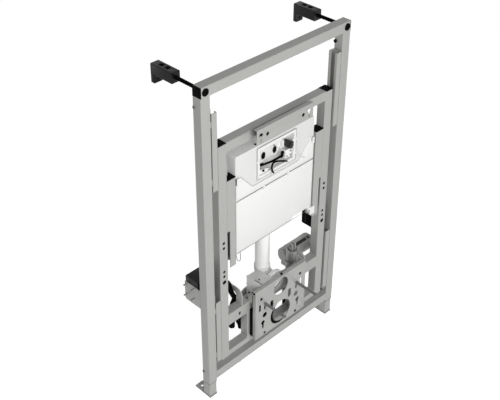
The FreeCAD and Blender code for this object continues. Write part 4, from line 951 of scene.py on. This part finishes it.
# painted shade: a grey line round the service box's rim
box_shade_line = border(inset(box_low, box_high, -SHADE_LINE_OUT, 2.0), inset(box_low, box_high, SHADE_LINE_IN, 1.0),
              RIM_Y - SHADE_LINE_RISE, RIM_Y + 1, 1)
make("service_box_shade_line", [box_shade_line], "grey_plastic", "carriage", look="frame_metal")
LOOP = ((-200, 15, 655), (-205, 12, 632), (-200, 9, 606), (-188, 8, 600), (-183, 10, 612),
        (-184, 14, 655))
LOOP_R = 1.3
make("wire_loop", [hose(spaced(eased(LOOP), 1.2), LOOP_R, 10)], "galvanised", "carriage")

# %% [markdown]
# The flush pipe ends in a white collar under the cistern. The elbow below it has fine rings on its
# face behind the flush hole and two thicker ones round its neck. All are lathe profiles closed into
# a loop, so that they leave the pipe's bore open.

# %% Collar and rings of the flush pipe
pipe_low, pipe_high = limits("flush_pipe")
PIPE_Y, FLUSH_R = (pipe_low[1] + pipe_high[1]) / 2, (pipe_high[0] - pipe_low[0]) / 2
ELBOW_Z, NECK_Y = 390.0, limits("flush_elbow")[0][1]
COLLAR_H, COLLAR_T, FLANGE_H, FLANGE_T = 20.0, 4.0, 6.0, 2.5
FACE_RINGS, FACE_RISE = (29.0, 33.0, 37.0), 1.0
NECK_RINGS, NECK_R = (6.0, 14.0), 46.0
under, outside = tank_low[2], FLUSH_R + COLLAR_T
collar = [(under - COLLAR_H, FLUSH_R), (under - COLLAR_H, outside - 1), (under - COLLAR_H + 1, outside),
          (under - FLANGE_H - 1, outside), (under - FLANGE_H, outside + FLANGE_T),
          (under, outside + FLANGE_T), (under, FLUSH_R)]
make("pipe_collar", [turned(collar, (0, PIPE_Y, 0), 2, 48, loop=True)], "white_plastic", "carriage")
parts = []
for r in FACE_RINGS:
    ring = [(NECK_Y + 0.3, r), (NECK_Y - FACE_RISE, r + 0.3), (NECK_Y - FACE_RISE, r + 1.2),
            (NECK_Y + 0.3, r + 1.5)]
    parts.append(turned(ring, (0, 0, ELBOW_Z), 1, 48, loop=True))
make("elbow_rings", parts, "grey_plastic", "carriage")
parts = []
for y in NECK_RINGS:
    ring = [(y, NECK_R - 3), (y, NECK_R), (y + 0.8, NECK_R + 1.2), (y + 2.4, NECK_R + 1.2),
            (y + 3.2, NECK_R), (y + 3.2, NECK_R - 3)]
    parts.append(turned(ring, (0, 0, ELBOW_Z), 1, 48, loop=True))
make("neck_rings", parts, "grey_plastic", "carriage")

# %% [markdown]
# A folded shelf stands beside the elbow. A thin sheet slopes down from its left edge, and its top has
# a slot and a screw. The shelf and the sheet wear a paler coat, painted light, since the shelf's left
# side lies in the shadow of the plate's ear. The slot is a black slab, painted shade inside it. The
# sheet is a skin over four corners, twice: its top and its underside.

# %% Shelf of the elbow
shelf_low, shelf_high = limits("elbow_shelf")
SHEET_OUT, SHEET_DROP, SHEET_T, SHEET_WIDE, SHEET_FRONT = 26.0, 26.0, 1.5, 52.0, 2.0
TOP_SLOT, SHELF_SCREW = (-88.2, -85.2, -8.0, 33.0), (-71.0, 21.6)
top = shelf_high[2]
near_x, far_x, front_y = shelf_low[0] + 0.5, shelf_low[0] - SHEET_OUT, shelf_low[1] - SHEET_FRONT
sheet = np.zeros((2, 4, 3))
sheet[0] = ((near_x, front_y, top - 0.3), (near_x, shelf_high[1] - SHEET_FRONT, top - 0.3),
            (far_x, shelf_low[1] + SHEET_WIDE, top - SHEET_DROP), (far_x, front_y, top - SHEET_DROP))
sheet[1] = sheet[0] - (0, 0, SHEET_T)
make("shelf_web", [skin(sheet)], "frame_metal", "carriage", look="painted_light_coat")
parts = [slab(oblong(*TOP_SLOT, 1.0), top - 1, top + 0.4, 2), pan_head((*SHELF_SCREW, top), 2, 3.0, 1.2)]
make("shelf_slot", parts, "black_plastic", "carriage", look="deep_black")

# %% [markdown]
# The conduit of the drive is a ribbed tube. Its path is the route of the engineering model, and its
# radius rises and falls every few millimetres. The ribs could be rings on a plain tube, but one sine
# in the radius gives them all in a single skin. A smooth branch leaves the conduit behind the
# crossbar, and a flat guide hangs beside it.

# %% Ribbed conduit
HOSE_R, RIB_DEEP, RIB_PITCH, HOLDER_W = 10.5, 1.8, 5.0, 16.0
BRANCH_R, GUIDE_HALF = 12.5, 2.0
conduit_low, conduit_high = limits("drive_conduit")
HOSE_Y = conduit_high[1] - HOSE_R
ROUTE = np.array(((-266, 530), (-203, 470), (-190, 415), (-156, 345), (-140, 195)), float)
BRANCH = ((-166, HOSE_Y, 366), (-183, HOSE_Y, 345), (-187, HOSE_Y, 300), (-187, HOSE_Y, 231))
GUIDE = ((-176.0, 268.0), (-133.0, 268.0), (-133.0, 238.0), (-138.0, 191.0), (-143.0, 191.0))
mids = (ROUTE[:-1] + ROUTE[1:]) / 2
route = np.concatenate([ROUTE[:1], np.stack([mids, ROUTE[1:]], axis=1).reshape(-1, 2)])
path = spaced(eased(np.insert(route, 1, HOSE_Y, axis=1)), RIB_PITCH / 6)
wave = np.sin(np.arange(len(path)) * 2 * np.pi / 6)
parts = [hose(path, HOSE_R - RIB_DEEP / 2 + RIB_DEEP / 2 * wave, 18)]
for (x0, z0), (x1, z1) in ((ROUTE[0], ROUTE[1]), (ROUTE[-1], ROUTE[-2])):
    x, z = x0 + (x1 - x0) * 0.1, z0 + (z1 - z0) * 0.1
    outline = oblong(x - HOLDER_W / 2, x + HOLDER_W / 2, z - HOLDER_W / 2, z + HOLDER_W / 2, 2.0)
    parts.append(slab(outline, conduit_low[1], HOSE_Y, 1))
parts.append(hose(spaced(eased(BRANCH), 4.0), BRANCH_R, 18))
parts.append(slab(np.array(GUIDE), HOSE_Y - GUIDE_HALF, HOSE_Y + GUIDE_HALF, 1))
make("ribbed_conduit", parts, "black_plastic", "carriage", ("drive_conduit",), look="deep_black")

# %% [markdown]
# The motor has a domed end with four screws, three bands and a dark strip along its upper side, which
# is a short arc drawn out along the motor: painted shade where the lit top turns into the side. A pin
# with two heads goes through the fork on the column.

# %% Drive: dome, bands, painted shade strip and pin
motor_low, motor_high = limits("actuator_motor")
column_low, column_high = limits("actuator_column")
MOTOR_R, end = 35.0, motor_high[0]
MOTOR_PLACE = (0, motor_high[1] - MOTOR_R, motor_low[2] + MOTOR_R)
BANDS, BAND_W, BAND_RISE = (118, 30, 12), 4, 0.9      # from the motor's end
DOME_SCREWS, DOME_RING, DOME_OUT = 4, 25.0, 2.8
ARC, SHADE_STRIP_ENDS = (100, 124), (104, 1)                # degrees round the motor, from its end
dome = [(end - 0.5, MOTOR_R - 0.6), (end + 1.5, MOTOR_R - 1.8), (end + 3.0, MOTOR_R - 6),
        (end + 3.6, 16), (end + 3.6, 9), (end + 2.2, 8)]
parts = [turned(dome, MOTOR_PLACE, 0, 48)]
for x in BANDS:
    band = [(end - x, MOTOR_R - 1), (end - x, MOTOR_R + BAND_RISE),
            (end - x + BAND_W, MOTOR_R + BAND_RISE), (end - x + BAND_W, MOTOR_R - 1)]
    parts.append(turned(band, MOTOR_PLACE, 0, 48, loop=True))
for k in range(DOME_SCREWS):
    angle = math.pi / 4 + k * 2 * math.pi / DOME_SCREWS
    y, z = MOTOR_PLACE[1] + DOME_RING * math.cos(angle), MOTOR_PLACE[2] + DOME_RING * math.sin(angle)
    parts.append(pan_head((end + DOME_OUT, y, z), 0, 3.0, 2.0))
make("motor_bands", parts, "cast_grey", "carriage")
# painted shade: a dark strip where the motor's lit top turns into its side
turn = np.radians(np.linspace(*ARC, 9))
arc = np.stack([np.cos(turn), np.sin(turn)], axis=1)
strip = np.concatenate([arc * (MOTOR_R + 0.5), arc[::-1] * (MOTOR_R - 1.5)]) + MOTOR_PLACE[1:]
make("motor_shade_strip", [slab(strip, end - SHADE_STRIP_ENDS[0], end - SHADE_STRIP_ENDS[1], 0)], "valve_grey", "carriage")
PIN_X, PIN_Y, PIN_Z = (column_low[0] + column_high[0]) / 2, 82.0, column_high[2] - 11.0
PIN_R, PIN_HALF, PIN_HEAD_X, PIN_HEAD_R, PIN_HEAD_RISE = 4.8, 13.0, 11.0, 7.0, 3.0
parts = [turned([(-PIN_HALF, PIN_R), (PIN_HALF, PIN_R)], (PIN_X, PIN_Y, PIN_Z), 0, 24)]
for side in (-1, 1):
    place = (PIN_X + side * PIN_HEAD_X, PIN_Y, PIN_Z)
    parts.append(pan_head(place, 0, PIN_HEAD_R, side * PIN_HEAD_RISE))
make("column_pin", parts, "galvanised", "carriage")

# %% [markdown]
# The two electric boxes are closed by a lid. One sees only its seam, a little in front of the rear
# face. A real groove would need a boolean on each box. A band that stands out by less than a
# millimetre gives the same line.

# %% Lids of the electric boxes
LID_SEAM_T, LID_SEAM_RISE, LID_SEAM_SINK = 2.4, 0.7, 2.0


def lid_seam(node, back):
    """A raised band round a box, this far in front of its rear face."""
    low, high = limits(node)
    outer, inner = inset(low, high, -LID_SEAM_RISE, 3.0), inset(low, high, LID_SEAM_SINK, 2.0)
    return border(outer, inner, high[1] - back - LID_SEAM_T, high[1] - back, 1)


make("control_box_lid", [lid_seam("control_box", 22.0)], "black_plastic", "frame", bevel=0.3)
make("supply_box_lid", [lid_seam("supply_box", 20.0)], "black_plastic", "carriage", bevel=0.3)

# %% [markdown]
# A thin rubber edge runs round both foot plates and a dark line round the lower end of each upright,
# where the foot's tube goes in. A black strip in the slit at the lower end of each inner post paints
# the shade inside the slit.

# %% Foot edges and painted shade in the slits
SOLE_T, SOLE_OUT, SOLE_IN = 2.6, 0.5, 2.0
LINE_OUT, LINE_IN, LINE_T = 0.3, 2.0, 1.5
SLIT_W, SLIT_H, SLIT_Y = 12.0, 170.0, (20, 30)      # behind the inner post's front
parts = []
for node in ("left_foot", "right_foot"):
    low, high = limits(node)
    outer, inner = inset(low, high, -SOLE_OUT, 1.0, (0, 1)), inset(low, high, SOLE_IN, 0.6, (0, 1))
    parts.append(border(outer, inner, 0.0, SOLE_T, 2))
y0, y1, foot_z = upright_low[1], upright_high[1], upright_low[2]
for side in (-1, 1):
    x0, x1 = sorted((side * (upright_low[0] - LINE_OUT), side * (upright_high[0] + LINE_OUT)))
    outer = oblong(x0, x1, y0 - LINE_OUT, y1 + LINE_OUT, 2.0)
    inner = oblong(x0 + LINE_IN, x1 - LINE_IN, y0 + LINE_IN, y1 - LINE_IN, 1.0)
    parts.append(border(outer, inner, foot_z, foot_z + LINE_T, 2))
make("foot_edges", parts, "black_plastic", "frame")
# painted shade: a black strip in each slit
parts = []
for side in (-1, 1):
    x0, x1 = sorted((side * (inner_high[0] - SLIT_W + 0.5), side * (inner_high[0] - 0.5)))
    outline = oblong(x0, x1, inner_low[2] + 4, inner_low[2] + SLIT_H - 1, 1.0)
    parts.append(slab(outline, inner_low[1] + SLIT_Y[0], inner_low[1] + SLIT_Y[1], 1))
make("slit_shade_strips", parts, "black_plastic", "carriage", bevel=0.3)
